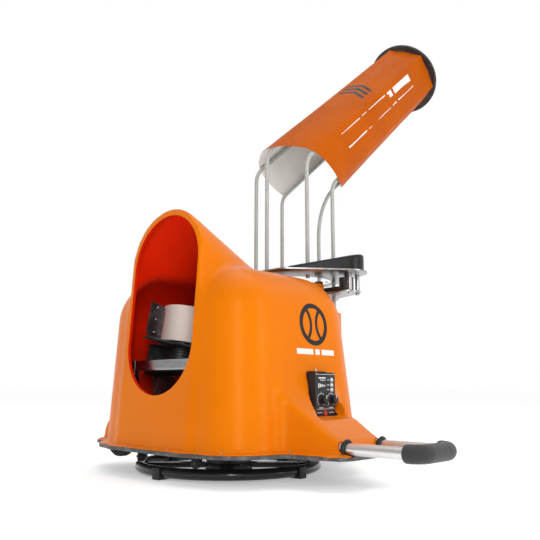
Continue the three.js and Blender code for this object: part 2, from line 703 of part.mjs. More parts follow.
// the sloping cover over the motor, open below
function cover() {
  const long = hypot(COVER.tipX - COVER.x, COVER.tipY - COVER.y);
  const along = [(COVER.x - COVER.tipX) / long, (COVER.y - COVER.tipY) / long];
  const dome = (inset, top) => {
    const plan = wrap([[COVER.x, COVER.y, COVER.radius - inset],
      [COVER.tipX, COVER.tipY, COVER.tipRadius - inset]], 12);
    const geometry = plate(outline(plan), COVER.low - inset, COVER.low + 20);
    const p = geometry.attributes.position;
    for (let i = 0; i < p.count; i += 1) {
      if (p.getZ(i) < COVER.low + 10) continue;
      const s = (p.getX(i) - COVER.tipX) * along[0] + (p.getY(i) - COVER.tipY) * along[1];
      p.setZ(i, COVER.tipHigh + COVER.rise * s - top);
    }
    return geometry;
  };
  return cut(dome(0, 0), dome(3, 3));
}

// ---------------------------------------------------------------- ball channel
const channelTop = new THREE.Group();
channelTop.position.set(CHANNEL.x, 0, CHANNEL.bend);
channelTop.rotation.y = -rad(90 - CHANNEL.lean);
machine.add(channelTop);

function rodPath(rod) {
  const [x, y] = rodFoot(rod);
  const turn = rad(90 - CHANNEL.lean);
  const along = new THREE.Vector3(-sin(turn), 0, cos(turn));
  const offset = CHANNEL.radius * cos(rad(rod.beta));
  const corner = new THREE.Vector3(x, y, CHANNEL.bend + offset * tan(turn / 2));
  const reach = rod.bend * tan(turn / 2);
  const start = isLong(rod) ? CHANNEL.low + GAP : FEED.upper - 5;
  const points = [new THREE.Vector3(x, y, start)];
  const steps = 5;
  for (let i = 0; i <= steps; i += 1) {
    const a = turn * i / steps;
    points.push(new THREE.Vector3(
      x - rod.bend * (1 - cos(a)), y, corner.z - reach + rod.bend * sin(a)));
  }
  const end = CHANNEL.length - 6 - GAP + offset * tan(turn / 2);
  points.push(corner.addScaledVector(along, end));
  return points;
}

function channel() {
  RODS.forEach((rod) => add(`channel_rod_${rod.name}`, tube(rodPath(rod), CHANNEL.rod, 10), WHITE));
  const disc = pipe(136, 112.5, CHANNEL.length - 6, CHANNEL.length + 6, 48);
  add('channel_top_ring', disc, BLACK, channelTop);
  add('banner', banner(), BANNER, channelTop);
}

// a sheet wrapped round the channel from rod to rod, its lower edge rising towards the back; it
// stands proud on each rod and dips between them, until it is nearly flat from rod to rod at the top
const BANNER_EDGE = [[240, 54], [300, 8], [360, -46], [420, 8], [480, 54], [540, 200]];
const BANNER_WRAP = { radius: 126.6, dip: 4, least: 112.5, thick: 1.6, step: 15 };

function bannerTopRadius(beta) {
  const offMiddle = ((beta % 60) + 60) % 60 - 30;
  return max(BANNER_WRAP.least, BANNER_WRAP.radius * cos(rad(30)) / cos(rad(offMiddle)));
}

function banner() {
  const top = CHANNEL.length - 7;
  const stations = [];
  for (let k = 0; k < BANNER_EDGE.length - 1; k += 1) {
    const [from, low] = BANNER_EDGE[k];
    const [to, nextLow] = BANNER_EDGE[k + 1];
    for (let beta = from; beta < to; beta += BANNER_WRAP.step) {
      stations.push([beta, low + (nextLow - low) * (beta - from) / (to - from)]);
    }
  }
  stations.push(BANNER_EDGE[BANNER_EDGE.length - 1]);
  const positions = [];
  for (const [beta, low] of stations) {
    const lowInner = BANNER_WRAP.radius - BANNER_WRAP.dip * sin(rad(3 * beta)) ** 2;
    const topInner = bannerTopRadius(beta);
    const thick = BANNER_WRAP.thick;
    for (const [radius, z] of [[lowInner, low], [lowInner + thick, low],
      [topInner + thick, top], [topInner, top]]) {
      positions.push(radius * cos(rad(beta)), radius * sin(rad(beta)), z);
    }
  }
  const index = [];
  const quad = (a, b, c, d) => index.push(a, b, c, a, c, d);
  for (let k = 0; k < stations.length - 1; k += 1) {
    for (let side = 0; side < 4; side += 1) {
      const here = 4 * k + side;
      const next = 4 * k + (side + 1) % 4;
      quad(here, here + 4, next + 4, next);
    }
  }
  const last = 4 * (stations.length - 1);
  quad(0, 1, 2, 3);
  quad(last + 3, last + 2, last + 1, last);
  const geometry = new THREE.BufferGeometry();
  geometry.setAttribute('position', new THREE.Float32BufferAttribute(positions, 3));
  geometry.setIndex(index);
  geometry.computeVertexNormals();
  return geometry;
}

// ---------------------------------------------------------------- tilting head
const TOOTH = { half: 0.42 * PI / 2, out: 0.8, root: 1.1, flank: tan(rad(20)) };

// the outline of a run of gear teeth about (0, 0), angles turned from straight down
function teeth(pitchRadius, centres) {
  const { module } = GEAR;
  const at = (radius, across, angle) => {
    const a = angle + Math.atan2(across, radius);
    return [radius * sin(a), -radius * cos(a)];
  };
  return centres.flatMap((angle) => {
    const root = pitchRadius - TOOTH.root * module;
    const tip = pitchRadius + TOOTH.out * module;
    const rootHalf = module * (TOOTH.half + TOOTH.root * TOOTH.flank);
    const tipHalf = module * (TOOTH.half - TOOTH.out * TOOTH.flank);
    return [at(root, -rootHalf, angle), at(tip, -tipHalf, angle), at(tip, tipHalf, angle),
      at(root, rootHalf, angle)];
  });
}

function pinion() {
  const count = GEAR.pinionTeeth;
  const centres = Array.from({ length: count }, (_, i) => PI + 2 * PI * i / count);
  const gear = standing(outline(teeth(GEAR.module * count / 2, centres)), GEAR.low, GEAR.high);
  const drilled = cut(gear, bar(1, GEAR.shaft + GAP, GEAR.low - 5, GEAR.high + 5, 0, 0, 20));
  add('tilt_pinion', drilled.translate(PIVOT.x, 0, PIVOT.z - PINION_DROP), STEEL);
}

function sector() {
  const pitch = 2 * PI / GEAR.sectorTeeth;
  const centres = [];
  for (let k = -8; k < 4; k += 1) centres.push(-rad(ELEVATION) + (k + 0.5) * pitch);
  const hub = [];
  for (let a = 20; a <= 290; a += 15) hub.push([26 * sin(rad(a)), -26 * cos(rad(a))]);
  const shape = outline([...teeth(GEAR.module * GEAR.sectorTeeth / 2, centres), ...hub]);
  const wedge = standing(shape, GEAR.low, GEAR.high);
  const hole = bar(1, PIVOT_PIN + 0.4, GEAR.low - 5, GEAR.high + 5, 0, 0, 24);
  add('tilt_sector', cut(wedge, hole).translate(0, 0, -PIVOT_DROP), STEEL, head);
}

function throwingHead() {
  const { low, high } = CHEEK;
  const pieces = [block(0, 70, -low - 1, low + 1, -135, -127)];
  for (const side of [1, -1]) {
    const from = side > 0 ? low : -high;
    const cheek = outline([[-20, -140], [60, -140], [60, -58], [-60, -58], [-60, -78]]);
    pieces.push(standing(cheek, from, from + high - low));
    const inner = side > 0 ? 96 : -low - 1;
    const shelf = cut(block(-65, 65, inner, inner + low - 95, -62, -58),
      upright(9, -70, -50, 0, side * WHEEL.y, 24));
    pieces.push(shelf);
    const armInner = side > 0 ? 118 : -150;
    pieces.push(block(60, 140, armInner, armInner + 32, -62, -58));
    const pinEnd = side > 0 ? BRACKET.left + BRACKET.thick + 5 : BRACKET.right + BRACKET.thick + 5;
    const pinFrom = side > 0 ? low + 1 : -pinEnd;
    pieces.push(bar(1, PIVOT_PIN, pinFrom, pinFrom + pinEnd - low - 1, 0, -PIVOT_DROP, 24));

    const name = side > 0 ? 'left' : 'right';
    add(`wheel_motor_${name}`, upright(42, -118, -62 - GAP, 0, side * WHEEL.y, 32), BLACK, head);
    add(`exit_guide_${name}`, exitGuide(side), BLACK, head);
    throwingWheel(name, side);
  }
  add('head_frame', join(...pieces), GREY, head);
  sector();
}

const GUIDE_TOP = 30;

// a curved sheet that steers the ball out of the wheels
function exitGuide(side) {
  const line = [[84, 150], [96, 137], [110, 127], [125, 120], [141, 116], [157, 114]];
  const outer = line.map(([x, y]) => [x, side * (y + 3)]);
  const inner = line.map(([x, y]) => [x, side * y]).reverse();
  const points = side > 0 ? [...inner, ...outer] : [...inner, ...outer].reverse();
  return plate(outline(points), -58 + GAP, GUIDE_TOP);
}

function throwingWheel(name, side) {
  const { radius, half, rim, y } = WHEEL;
  const core = turned([
    [0, -61.7], [8, -61.7], [8, -half], [16, -half], [16, -6], [rim - 6, -6],
    [rim - 6, -half + 2], [rim, -half + 2], [rim, half - 2], [rim - 6, half - 2], [rim - 6, 6],
    [16, 6], [16, half - 8], [0, half - 8],
  ], 30);
  const tread = turned([
    [rim + 0.4, -half], [radius, -half], [radius - 1.5, -half / 2], [radius - 2, 0],
    [radius - 1.5, half / 2], [radius, half], [rim + 0.4, half], [rim + 0.4, -half],
  ], 40);
  add(`wheel_core_${name}`, core.translate(0, side * y, 0), ALU, head);
  add(`wheel_tread_${name}`, tread.translate(0, side * y, 0), CREAM, head);
}

// ---------------------------------------------------------------- the whole machine
base();
chassis();
add('shell', shell(), ORANGE);
controls();
handle();
supports();
chute();
feeder();
channel();
pinion();
throwingHead();

export default machine;
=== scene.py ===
"""Looks for the ball pitching machine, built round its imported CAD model.

Lengths are in millimetres, and turned into metres when a mesh is made. +X is the way the ball
leaves, +Y is the side with the control panel and the handle, and +Z is up.
"""
import math

import bmesh
import bpy
import numpy as np
from mathutils import Matrix, Vector


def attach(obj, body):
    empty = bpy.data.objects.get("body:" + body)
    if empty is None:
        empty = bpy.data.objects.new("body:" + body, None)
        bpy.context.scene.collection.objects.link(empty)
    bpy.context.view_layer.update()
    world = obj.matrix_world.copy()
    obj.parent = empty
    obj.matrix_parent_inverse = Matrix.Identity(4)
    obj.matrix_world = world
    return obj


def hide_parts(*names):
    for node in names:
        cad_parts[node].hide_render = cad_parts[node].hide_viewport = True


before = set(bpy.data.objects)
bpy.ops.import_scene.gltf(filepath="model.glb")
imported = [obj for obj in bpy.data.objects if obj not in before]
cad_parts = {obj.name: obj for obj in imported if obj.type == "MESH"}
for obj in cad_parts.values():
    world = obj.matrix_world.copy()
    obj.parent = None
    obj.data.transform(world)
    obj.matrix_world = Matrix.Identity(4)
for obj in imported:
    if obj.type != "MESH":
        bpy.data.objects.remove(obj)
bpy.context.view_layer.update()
MM = 0.001
UP = (0, 0, 1)
LEFT = (0, 1, 0)
FORWARD = (1, 0, 0)

# Driving dimensions, the same as the CAD model's.
RING_RADIUS, RING_TUBE, RING_Z = 224, 12.45, 16
CART_X, CART_Y, CART_Z = 125, -300, 77
HANDLE_X, HANDLE_Z, HANDLE_BEND, HANDLE_CORNER_Y = 64, 83, 30, 565
PANEL_Y = 288.0
KNOB_X = {"left": -23, "right": -60}
KNOB_Z = 181
BUTTON_X = -62
BUTTON_Z = {"low": 203, "middle": 214, "high": 226}
PLATE_TOP = 521.0
CHANNEL_X, ROD_CIRCLE, ROD_RADIUS = -258, 119, 5.95
BEND_Z, SLOPE, RING_HEIGHT = 841, 48.9, 885
PIVOT_X, PIVOT_Z, LAUNCH_ANGLE, WHEEL_Y = 25, 372, 10, 161


# ---- materials
class Shader:
    """A node material under construction, with short calls for the nodes used here."""

    def __init__(self, name, color, rough, metal=0.0, spec=0.5):
        self.mat = bpy.data.materials.new(name)
        self.mat.use_nodes = True
        self.nodes = self.mat.node_tree.nodes
        self.links = self.mat.node_tree.links
        self.bsdf = self.nodes["Principled BSDF"]
        self.set("Base Color", (*color, 1.0))
        self.set("Roughness", rough)
        self.set("Metallic", metal)
        self.set("Specular IOR Level", spec)

    def set(self, socket, value):
        self.bsdf.inputs[socket].default_value = value

    def add(self, kind, **values):
        node = self.nodes.new(kind)
        for key, value in values.items():
            if hasattr(node, key):
                setattr(node, key, value)
            else:
                node.inputs[key.replace("_", " ")].default_value = value
        return node

    def link(self, source, node, socket):
        """Links a source, given as a (node, output) pair, to a node's socket."""
        self.links.new(source[0].outputs[source[1]], node.inputs[socket])

    def place(self, stretch=(1, 1, 1), turn=(0, 0, 0)):
        coord = self.add("ShaderNodeTexCoord")
        mapping = self.add("ShaderNodeMapping")
        mapping.inputs["Scale"].default_value = stretch
        mapping.inputs["Rotation"].default_value = turn
        self.link((coord, "Object"), mapping, "Vector")
        return mapping, "Vector"

    def noise(self, scale, detail=4.0, stretch=(1, 1, 1)):
        node = self.add("ShaderNodeTexNoise", Scale=scale, Detail=detail)
        self.link(self.place(stretch), node, "Vector")
        return node, "Fac"

    def ramp(self, source, low, high, start=0.35, end=0.65):
        node = self.add("ShaderNodeMapRange")
        for key, value in zip(("From Min", "From Max", "To Min", "To Max"),
                              (start, end, low, high)):
            node.inputs[key].default_value = value
        self.link(source, node, "Value")
        return node, "Result"

    def tint(self, source, dark, light, start=0.35, end=0.65):
        node = self.add("ShaderNodeValToRGB")
        node.color_ramp.elements[0].position = start
        node.color_ramp.elements[0].color = (*dark, 1)
        node.color_ramp.elements[1].position = end
        node.color_ramp.elements[1].color = (*light, 1)
        self.link(source, node, "Fac")
        return node, "Color"

    def color(self, source):
        self.link(source, self.bsdf, "Base Color")

    def roughness(self, source):
        self.link(source, self.bsdf, "Roughness")

    def bump(self, source, distance, strength=1.0):
        node = self.add("ShaderNodeBump", Strength=strength, Distance=distance)
        self.link(source, node, "Height")
        if self.bsdf.inputs["Normal"].is_linked:
            before = self.bsdf.inputs["Normal"].links[0].from_node
            self.link((before, "Normal"), node, "Normal")
        self.link((node, "Normal"), self.bsdf, "Normal")

    def worn_edges(self, base, worn):
        """Mixes a worn colour in along sharp edges, broken up by noise."""
        geometry = self.add("ShaderNodeNewGeometry")
        patch = self.ramp(self.noise(45, 6), -0.05, 0.05)
        edge = self.add("ShaderNodeMath", operation="ADD")
        self.link((geometry, "Pointiness"), edge, 0)
        self.link(patch, edge, 1)
        self.color(self.tint((edge, "Value"), base, worn, 0.52, 0.62))


def mix(a, b, t):
    return tuple(x * (1 - t) + y * t for x, y in zip(a, b))


def shell_plastic(name, color, shade, rough):
    s = Shader(name, color, rough)
    s.color(s.tint(s.noise(5, 3), shade, color, 0.3, 0.7))
    s.roughness(s.ramp(s.noise(38, 6), rough - 0.045, rough + 0.055))
    s.bump(s.noise(900, 2), 0.00005, 0.55)
    s.bump(s.noise(60, 3), 0.00025, 0.25)
    s.set("Specular IOR Level", 0.22)
    s.set("Specular Tint", (1.0, 0.62, 0.3, 1.0))
    return s.mat


def painted(name, color, rough, peel=0.5, worn=None):
    s = Shader(name, color, rough)
    s.color(s.tint(s.noise(14, 4), mix(color, (0, 0, 0), 0.15), color, 0.3, 0.7))
    if worn:
        s.worn_edges(color, worn)
    s.roughness(s.ramp(s.noise(120, 6), rough - 0.06, rough + 0.08))
    s.bump(s.noise(1400, 2), 0.00004, peel)
    return s.mat


def brushed(name, color, rough, along=(1, 1, 1), scale=500):
    s = Shader(name, color, rough, 1.0)
    grain = s.noise(scale, 6, along)
    s.color(s.tint(grain, mix(color, (0, 0, 0), 0.12), color, 0.3, 0.7))
    s.roughness(s.ramp(grain, rough - 0.05, rough + 0.08))
    s.bump(grain, 0.00001, 0.3)
    return s.mat


def galvanised(name, color):
    s = Shader(name, color, 0.32, 1.0)
    cells = s.add("ShaderNodeTexVoronoi", Scale=160)
    s.link(s.place(), cells, "Vector")
    s.color(s.tint((cells, "Distance"), mix(color, (0, 0, 0), 0.22), color, 0.1, 0.6))
    s.roughness(s.ramp(s.noise(300, 5), 0.24, 0.42))
    s.bump(s.noise(700, 3), 0.00003, 0.3)
    return s.mat


def rubber(name, color, rough=0.8, grain=1200, depth=0.00008, dust=0.25):
    s = Shader(name, color, rough, spec=0.35)
    s.color(s.tint(s.noise(30, 8), color, mix(color, (0.35, 0.33, 0.3), dust * 0.25), 0.45, 0.8))
    s.roughness(s.ramp(s.noise(80, 6), rough - 0.08, min(rough + 0.1, 1)))
    s.bump(s.noise(grain, 3), depth, 0.6)
    return s.mat


def foam(name):
    s = Shader(name, (0.035, 0.035, 0.037), 0.9, spec=0.25)
    cells = s.add("ShaderNodeTexVoronoi", Scale=900)
    s.link(s.place(), cells, "Vector")
    s.color(s.tint((cells, "Distance"), (0.02, 0.02, 0.021), (0.05, 0.05, 0.052), 0.1, 0.7))
    s.bump((cells, "Distance"), 0.00025, 0.8)
    s.bump(s.noise(160, 4), 0.0004, 0.3)
    s.set("Sheen Weight", 0.25)
    return s.mat


def sheet_cloth(name, color, shade, rough):
    """Coated cloth: a fine woven grain in two directions under the coating."""
    s = Shader(name, color, rough)
    s.color(s.tint(s.noise(7, 4), shade, color, 0.3, 0.7))
    for turn in (0, math.pi / 2):
        wave = s.add("ShaderNodeTexWave", Scale=420, Distortion=0.6, Detail=2.0)
        s.link(s.place((1, 1, 1), (0, -math.radians(SLOPE), turn)), wave, "Vector")
        s.bump((wave, "Fac"), 0.00006, 0.3)
    s.roughness(s.ramp(s.noise(50, 5), rough - 0.06, rough + 0.06))
    s.bump(s.noise(9, 3), 0.0016, 0.25)
    s.set("Specular IOR Level", 0.08)
    s.set("Specular Tint", (1.0, 0.6, 0.3, 1.0))
    return s.mat


ORANGE = (0.76, 0.185, 0.0004)
MAT = {
    "shell": shell_plastic("shell_orange", ORANGE, (0.72, 0.165, 0.0003), 0.34),
    # the shell's inside is the same orange plastic; its redder tone here is painted shade
    "shell_inside_painted_shade": shell_plastic("shell_inside_painted_shade", (0.80, 0.02, 0.0005), (0.72, 0.012, 0.0004), 0.5),
    "banner": sheet_cloth("banner_outside", (0.52, 0.100, 0.0006), (0.46, 0.082, 0.0005), 0.55),
    "banner_inside": sheet_cloth("banner_inside", (0.82, 0.80, 0.78), (0.74, 0.71, 0.68), 0.6),
    "black_gloss": painted("black_gloss", (0.008, 0.008, 0.009), 0.16, 0.08),
    "black_satin": painted("black_satin", (0.018, 0.018, 0.02), 0.42, 0.7, (0.07, 0.07, 0.07)),
    "grey_powder": painted("grey_powder", (0.055, 0.055, 0.06), 0.5, 1.0, (0.16, 0.16, 0.16)),
    "steel": galvanised("zinc_plate", (0.42, 0.43, 0.43)),
    "bright_steel": brushed("bright_steel", (0.46, 0.46, 0.47), 0.22, (1, 0.05, 1)),
    "alu": brushed("satin_aluminium", (0.80, 0.80, 0.80), 0.3, (1, 0.03, 1), 420),
    "white_rod": painted("white_rod", (0.47, 0.47, 0.445), 0.25, 0.1),
    "cream": rubber("cream_tread", (0.93, 0.885, 0.80), 0.55, 500, 0.00008, 0.05),
    "rubber": rubber("black_rubber", (0.016, 0.016, 0.017)),
    "foam": foam("grip_foam"),
    "plastic": rubber("black_plastic", (0.014, 0.014, 0.015), 0.45, 2200, 0.00004, 0.05),
    "cover": rubber("cover_plastic", (0.004, 0.004, 0.0045), 0.38, 1600, 0.00003, 0.03),
    "panel": rubber("panel_plastic", (0.020, 0.021, 0.024), 0.5, 2600, 0.00005, 0.05),
    "button": rubber("button_plastic", (0.70, 0.70, 0.68), 0.4, 2000, 0.00002, 0.05),
    "print_white": rubber("white_print", (0.80, 0.80, 0.78), 0.55, 1500, 0.00002, 0.05),
    "print_black": rubber("black_print", (0.010, 0.009, 0.009), 0.5, 1500, 0.00002, 0.05),
    "print_red": rubber("red_print", (0.60, 0.03, 0.01), 0.5, 1500, 0.00002, 0.05),
}
# the record's material slot that each material stands for, unless a piece says otherwise
SLOT = {
    "shell": "shell_orange", "banner": "banner_fabric", "black_gloss": "black_metal",
    "black_satin": "black_metal", "grey_powder": "grey_metal", "steel": "steel",
    "bright_steel": "steel", "alu": "aluminium", "white_rod": "white_metal",
    "cream": "cream_tread", "rubber": "black_rubber", "foam": "black_rubber",
    "plastic": "black_plastic", "cover": "black_plastic", "panel": "panel_plastic",
    "button": "button_plastic",
}


# ---- mesh helpers
def new_object(name, vertices, faces, material, body, slot=None, smooth=35):
    mesh = bpy.data.meshes.new(name)
    mesh.from_pydata([tuple(float(c) * MM for c in v) for v in vertices], [], faces)
    mesh.validate()
    return finish_object(name, mesh, material, body, slot, smooth)


def shade(o, sharp):
    """Smooth shading, with edges sharper than this angle left hard."""
    o.data.shade_smooth()
    o.data.set_sharp_from_angle(angle=math.radians(sharp))


def finish_object(name, mesh, material, body, slot=None, smooth=35):
    o = bpy.data.objects.new(name, mesh)
    bpy.context.scene.collection.objects.link(o)
    mesh.materials.clear()
    mesh.materials.append(MAT[material])
    if smooth is not None:
        shade(o, smooth)
    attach(o, body)
    slot or SLOT[material]
    return o


def outward(o):
    """Makes a closed mesh's faces point outwards."""
    bm = bmesh.new()
    bm.from_mesh(o.data)
    bmesh.ops.recalc_face_normals(bm, faces=bm.faces)
    bm.to_mesh(o.data)
    bm.free()
    return o


def apply_modifiers(o):
    bpy.context.view_layer.update()
    evaluated = o.evaluated_get(bpy.context.evaluated_depsgraph_get())
    mesh = bpy.data.meshes.new_from_object(evaluated)
    o.modifiers.clear()
    o.data = mesh
    return o


def thicken(o, thickness, offset, sharp, inside=None):
    """Gives an open mesh a thickness, and its back, if asked, a second material."""
    wall = o.modifiers.new("wall", "SOLIDIFY")
    wall.thickness = thickness * MM
    wall.offset = offset
    if inside:
        wall.material_offset = 1
        o.data.materials.append(MAT[inside])
    apply_modifiers(o)
    shade(o, sharp)


def refine(node, material, width, body="chassis", slot=None):
    """A copy of a CAD node with its flat faces merged and its edges broken."""
    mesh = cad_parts[node].data.copy()
    bm = bmesh.new()
    bm.from_mesh(mesh)
    bmesh.ops.remove_doubles(bm, verts=bm.verts, dist=1e-5)
    bmesh.ops.dissolve_limit(bm, angle_limit=math.radians(1.0), verts=bm.verts, edges=bm.edges)
    bm.to_mesh(mesh)
    bm.free()
    o = finish_object(node + "_piece", mesh, material, body, slot, None)
    edges = o.modifiers.new("bevel", "BEVEL")
    edges.width = width * MM
    edges.segments = 3
    edges.limit_method = "ANGLE"
    edges.angle_limit = math.radians(32)
    apply_modifiers(o)
    shade(o, 32)
    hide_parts(node)


def frame_at(origin, z_axis, x_hint=FORWARD):
    """A place with its Z axis along z_axis, and its X axis as near to x_hint as it can be."""
    z = Vector(z_axis).normalized()
    x = Vector(x_hint) - z * Vector(x_hint).dot(z)
    x.normalize()
    y = z.cross(x)
    m = Matrix((x, y, z)).transposed().to_4x4()
    m.translation = Vector(origin)
    return m


def lathe(name, profile, material, body, place, steps=96, smooth=35):
    """[radius, z] points turned about the local Z axis; a radius of 0 closes an end."""
    vertices = []
    rows = []
    for r, z in profile:
        if r < 1e-6:
            rows.append([len(vertices)] * steps)
            vertices.append((0, 0, z))
            continue
        rows.append(list(range(len(vertices), len(vertices) + steps)))
        for i in range(steps):
            a = 2 * math.pi * i / steps
            vertices.append((r * math.cos(a), r * math.sin(a), z))
    faces = []
    for low, high in zip(rows, rows[1:]):
        for i in range(steps):
            j = (i + 1) % steps
            face = [low[i], low[j], high[j], high[i]]
            face = [v for n, v in enumerate(face) if v != face[n - 1]]
            if len(face) > 2:
                faces.append(face)
    vertices = [place @ Vector(v) for v in vertices]
    return outward(new_object(name, vertices, faces, material, body, None, smooth))


def rounded(profile, radius=1.0, steps=4):
    """Rounds every inner corner of an open profile."""
    points = [np.array(p, float) for p in profile]
    out = [points[0]]
    for before, here, after in zip(points, points[1:], points[2:]):
        a, b = before - here, after - here
        la, lb = np.linalg.norm(a), np.linalg.norm(b)
        cut = min(radius, la * 0.45, lb * 0.45)
        if cut < 1e-3 or here[0] < 1e-6:
            out.append(here)
            continue
        p, q = here + a / la * cut, here + b / lb * cut
        for i in range(steps + 1):
            t = i / steps
            out.append(p * (1 - t) ** 2 + here * 2 * t * (1 - t) + q * t ** 2)
    out.append(points[-1])
    return out


def sweep(name, points, radius, material, body, sides=20, closed=False):
    """A tube along points; radius is a number or one number for each point."""
    points = [Vector(p) for p in points]
    count = len(points)
    radii = [radius] * count if isinstance(radius, (int, float)) else list(radius)
    tangents = []
    for i in range(count):
        a = points[i - 1] if i or closed else points[i]
        b = points[(i + 1) % count] if i < count - 1 or closed else points[i]
        tangents.append((b - a).normalized())
    normal = tangents[0].orthogonal().normalized()
    vertices, faces = [], []
    for i in range(count):
        if i:
            normal = (normal - tangents[i] * normal.dot(tangents[i])).normalized()
        side = tangents[i].cross(normal)
        for k in range(sides):
            a = 2 * math.pi * k / sides
            vertices.append(points[i] + (normal * math.cos(a) + side * math.sin(a)) * radii[i])
    for i in range(count if closed else count - 1):
        j = (i + 1) % count
        for k in range(sides):
            n = (k + 1) % sides
            faces.append([i * sides + k, i * sides + n, j * sides + n, j * sides + k])
    if not closed:
        faces.append(list(range(sides))[::-1])
        faces.append(list(range((count - 1) * sides, count * sides)))
    return outward(new_object(name, vertices, faces, material, body))


def join_meshes(name, objects):
    """Joins loose pieces of one body into one object."""
    bpy.context.view_layer.update()
    base = objects[0]
    with bpy.context.temp_override(active_object=base, selected_editable_objects=objects):
        bpy.ops.object.join()
    base.name = name


# ---- the shell's outer skin
# Each skin function returns how far a point is outside one part of the shell.
BODY_X, BODY_LEFT, BODY_RIGHT, BODY_FOOT, BODY_TOP = 243, 280, 268, 60, 499
DRAFT_X, DRAFT_LEFT, DRAFT_RIGHT = 0.06, 0.095, 0.01
BODY_CORNER, BODY_SHOULDER, BODY_CROWN = 112, 106, 1e-4
HOOD_Y, HOOD_RADIUS, HOOD_TOP, HOOD_RIDGE, HOOD_SLOPE, HOOD_BACK = -4, 137, 657, 543, 0.51, -110
TAIL_END, TAIL_TIP, TAIL_WIDTH, TAIL_FLARE = 422, 424, 78, 26
TAIL_LOW, TAIL_SLOPE, TAIL_ROOT, TAIL_DRAFT = 90, 0.62, 18, 0.2
ARCH_HALF, ARCH_RADIUS, ARCH_Y, ARCH_Z = 42, 58, -272, 80
SOCKET_RADIUS, SOCKET_TOP = 138, 440
COLLAR_RADIUS, COLLAR_TOP, COLLAR_SLOPE = 145, 508, 0.13
NICHE_WALL, NICHE_FLOOR, NICHE_RISE, NICHE_ROUND, NICHE_TOP = 266, 132.4, 0.1, 60, 300
NICHE_FROM, NICHE_TO, NICHE_SPREAD = 2, -84, 0.66
MOUTH_RADIUS, MOUTH_LOW, MOUTH_HIGH, MOUTH_LIP = 124, 313, 506, 14
FLANGE_WIDE, FLANGE_TOP, SHELL_LOW = 18, 72.4, 68.5


def blend(a, b, k):
    """Two shapes as one, with a fillet about k wide where they meet."""
    h = np.clip(0.5 + 0.5 * (b - a) / k, 0, 1)
    return b * (1 - h) + a * h - k * h * (1 - h)


def both(a, b, r):
    """The space that two shapes share, with its edge rounded by r."""
    u, v = a + r, b + r
    return np.hypot(np.maximum(u, 0), np.maximum(v, 0)) + np.minimum(np.maximum(u, v), 0) - r


def highest(*values):
    return np.maximum.reduce(np.broadcast_arrays(*values))


def body_skin(x, y, z):
    rise = z - BODY_FOOT
    half_y = np.where(y > 0, BODY_LEFT - DRAFT_LEFT * rise, BODY_RIGHT - DRAFT_RIGHT * rise)
    side = both(np.abs(x) - BODY_X + DRAFT_X * rise, np.abs(y) - half_y, BODY_CORNER)
    return both(side, z - BODY_TOP + BODY_CROWN * (x * x + y * y), BODY_SHOULDER)


def hood_skin(x, y, z):
    roof = blend(HOOD_RIDGE + HOOD_SLOPE * x, np.full_like(x, HOOD_TOP), 20) - HOOD_RADIUS
    y = y - HOOD_Y
    across = np.where(z > roof, np.hypot(y, z - roof), np.abs(y))
    return np.maximum((across - HOOD_RADIUS) * 0.93, HOOD_BACK - x)


def tail_skin(x, y, z):
    t = np.clip((TAIL_TIP - y) / 162, 0, 1)
    top = TAIL_LOW + np.maximum(TAIL_TIP - y, 0) * TAIL_SLOPE + TAIL_ROOT * t ** 4
    spread = TAIL_DRAFT * np.maximum(np.minimum(top, 130) - z, 0)
    plan = both(np.abs(x) - (TAIL_WIDTH + TAIL_FLARE * t ** 2.5 + spread), y - TAIL_END, 14)
    return np.maximum(both(plan, (z - top) * 0.8, 12), 190 - y)


def arch_skin(x, y, z):
    across = np.abs(np.abs(x) - CART_X) - ARCH_HALF
    return both(across, np.hypot(y - ARCH_Y, z - ARCH_Z) - ARCH_RADIUS, 14)


def face_x(z):
    return BODY_X - 0.0646 * (z - 188)


def niche_skin(x, y, z):
    """The space cut out for the control panel, above the tail."""
    floor_z = NICHE_FLOOR + NICHE_RISE * (y - PANEL_Y)
    across = np.maximum(x - NICHE_FROM - NICHE_SPREAD * np.maximum(y - NICHE_WALL, 0), NICHE_TO - x)
    return np.maximum(both(both(NICHE_WALL - y, floor_z - z, NICHE_ROUND), across, 12), z - NICHE_TOP)


def skin(x, y, z):
    f = blend(body_skin(x, y, z), hood_skin(x, y, z), 26)
    f = both(f, x - face_x(z), 8)
    f = blend(f, tail_skin(x, y, z), 28)
    f = blend(f, arch_skin(x, y, z), 26)
    r = np.hypot(x - CHANNEL_X, y)
    f = blend(f, both(r - SOCKET_RADIUS, z - SOCKET_TOP, 16), 30)
    collar = highest(r - COLLAR_RADIUS, z - COLLAR_TOP - COLLAR_SLOPE * (x + 113), -225 - x)
    f = blend(f, collar, 8)
    return np.maximum(f, -niche_skin(x, y, z))


def skin_with_flange(x, y, z):
    f = skin(x, y, z)
    return blend(f, np.maximum(f - FLANGE_WIDE, z - FLANGE_TOP), 10)


def mouth(x, y, z):
    """Distance outside the round-ended mouth, across the face."""
    return np.hypot(y, z - np.clip(z, MOUTH_LOW, MOUTH_HIGH)) - MOUTH_RADIUS


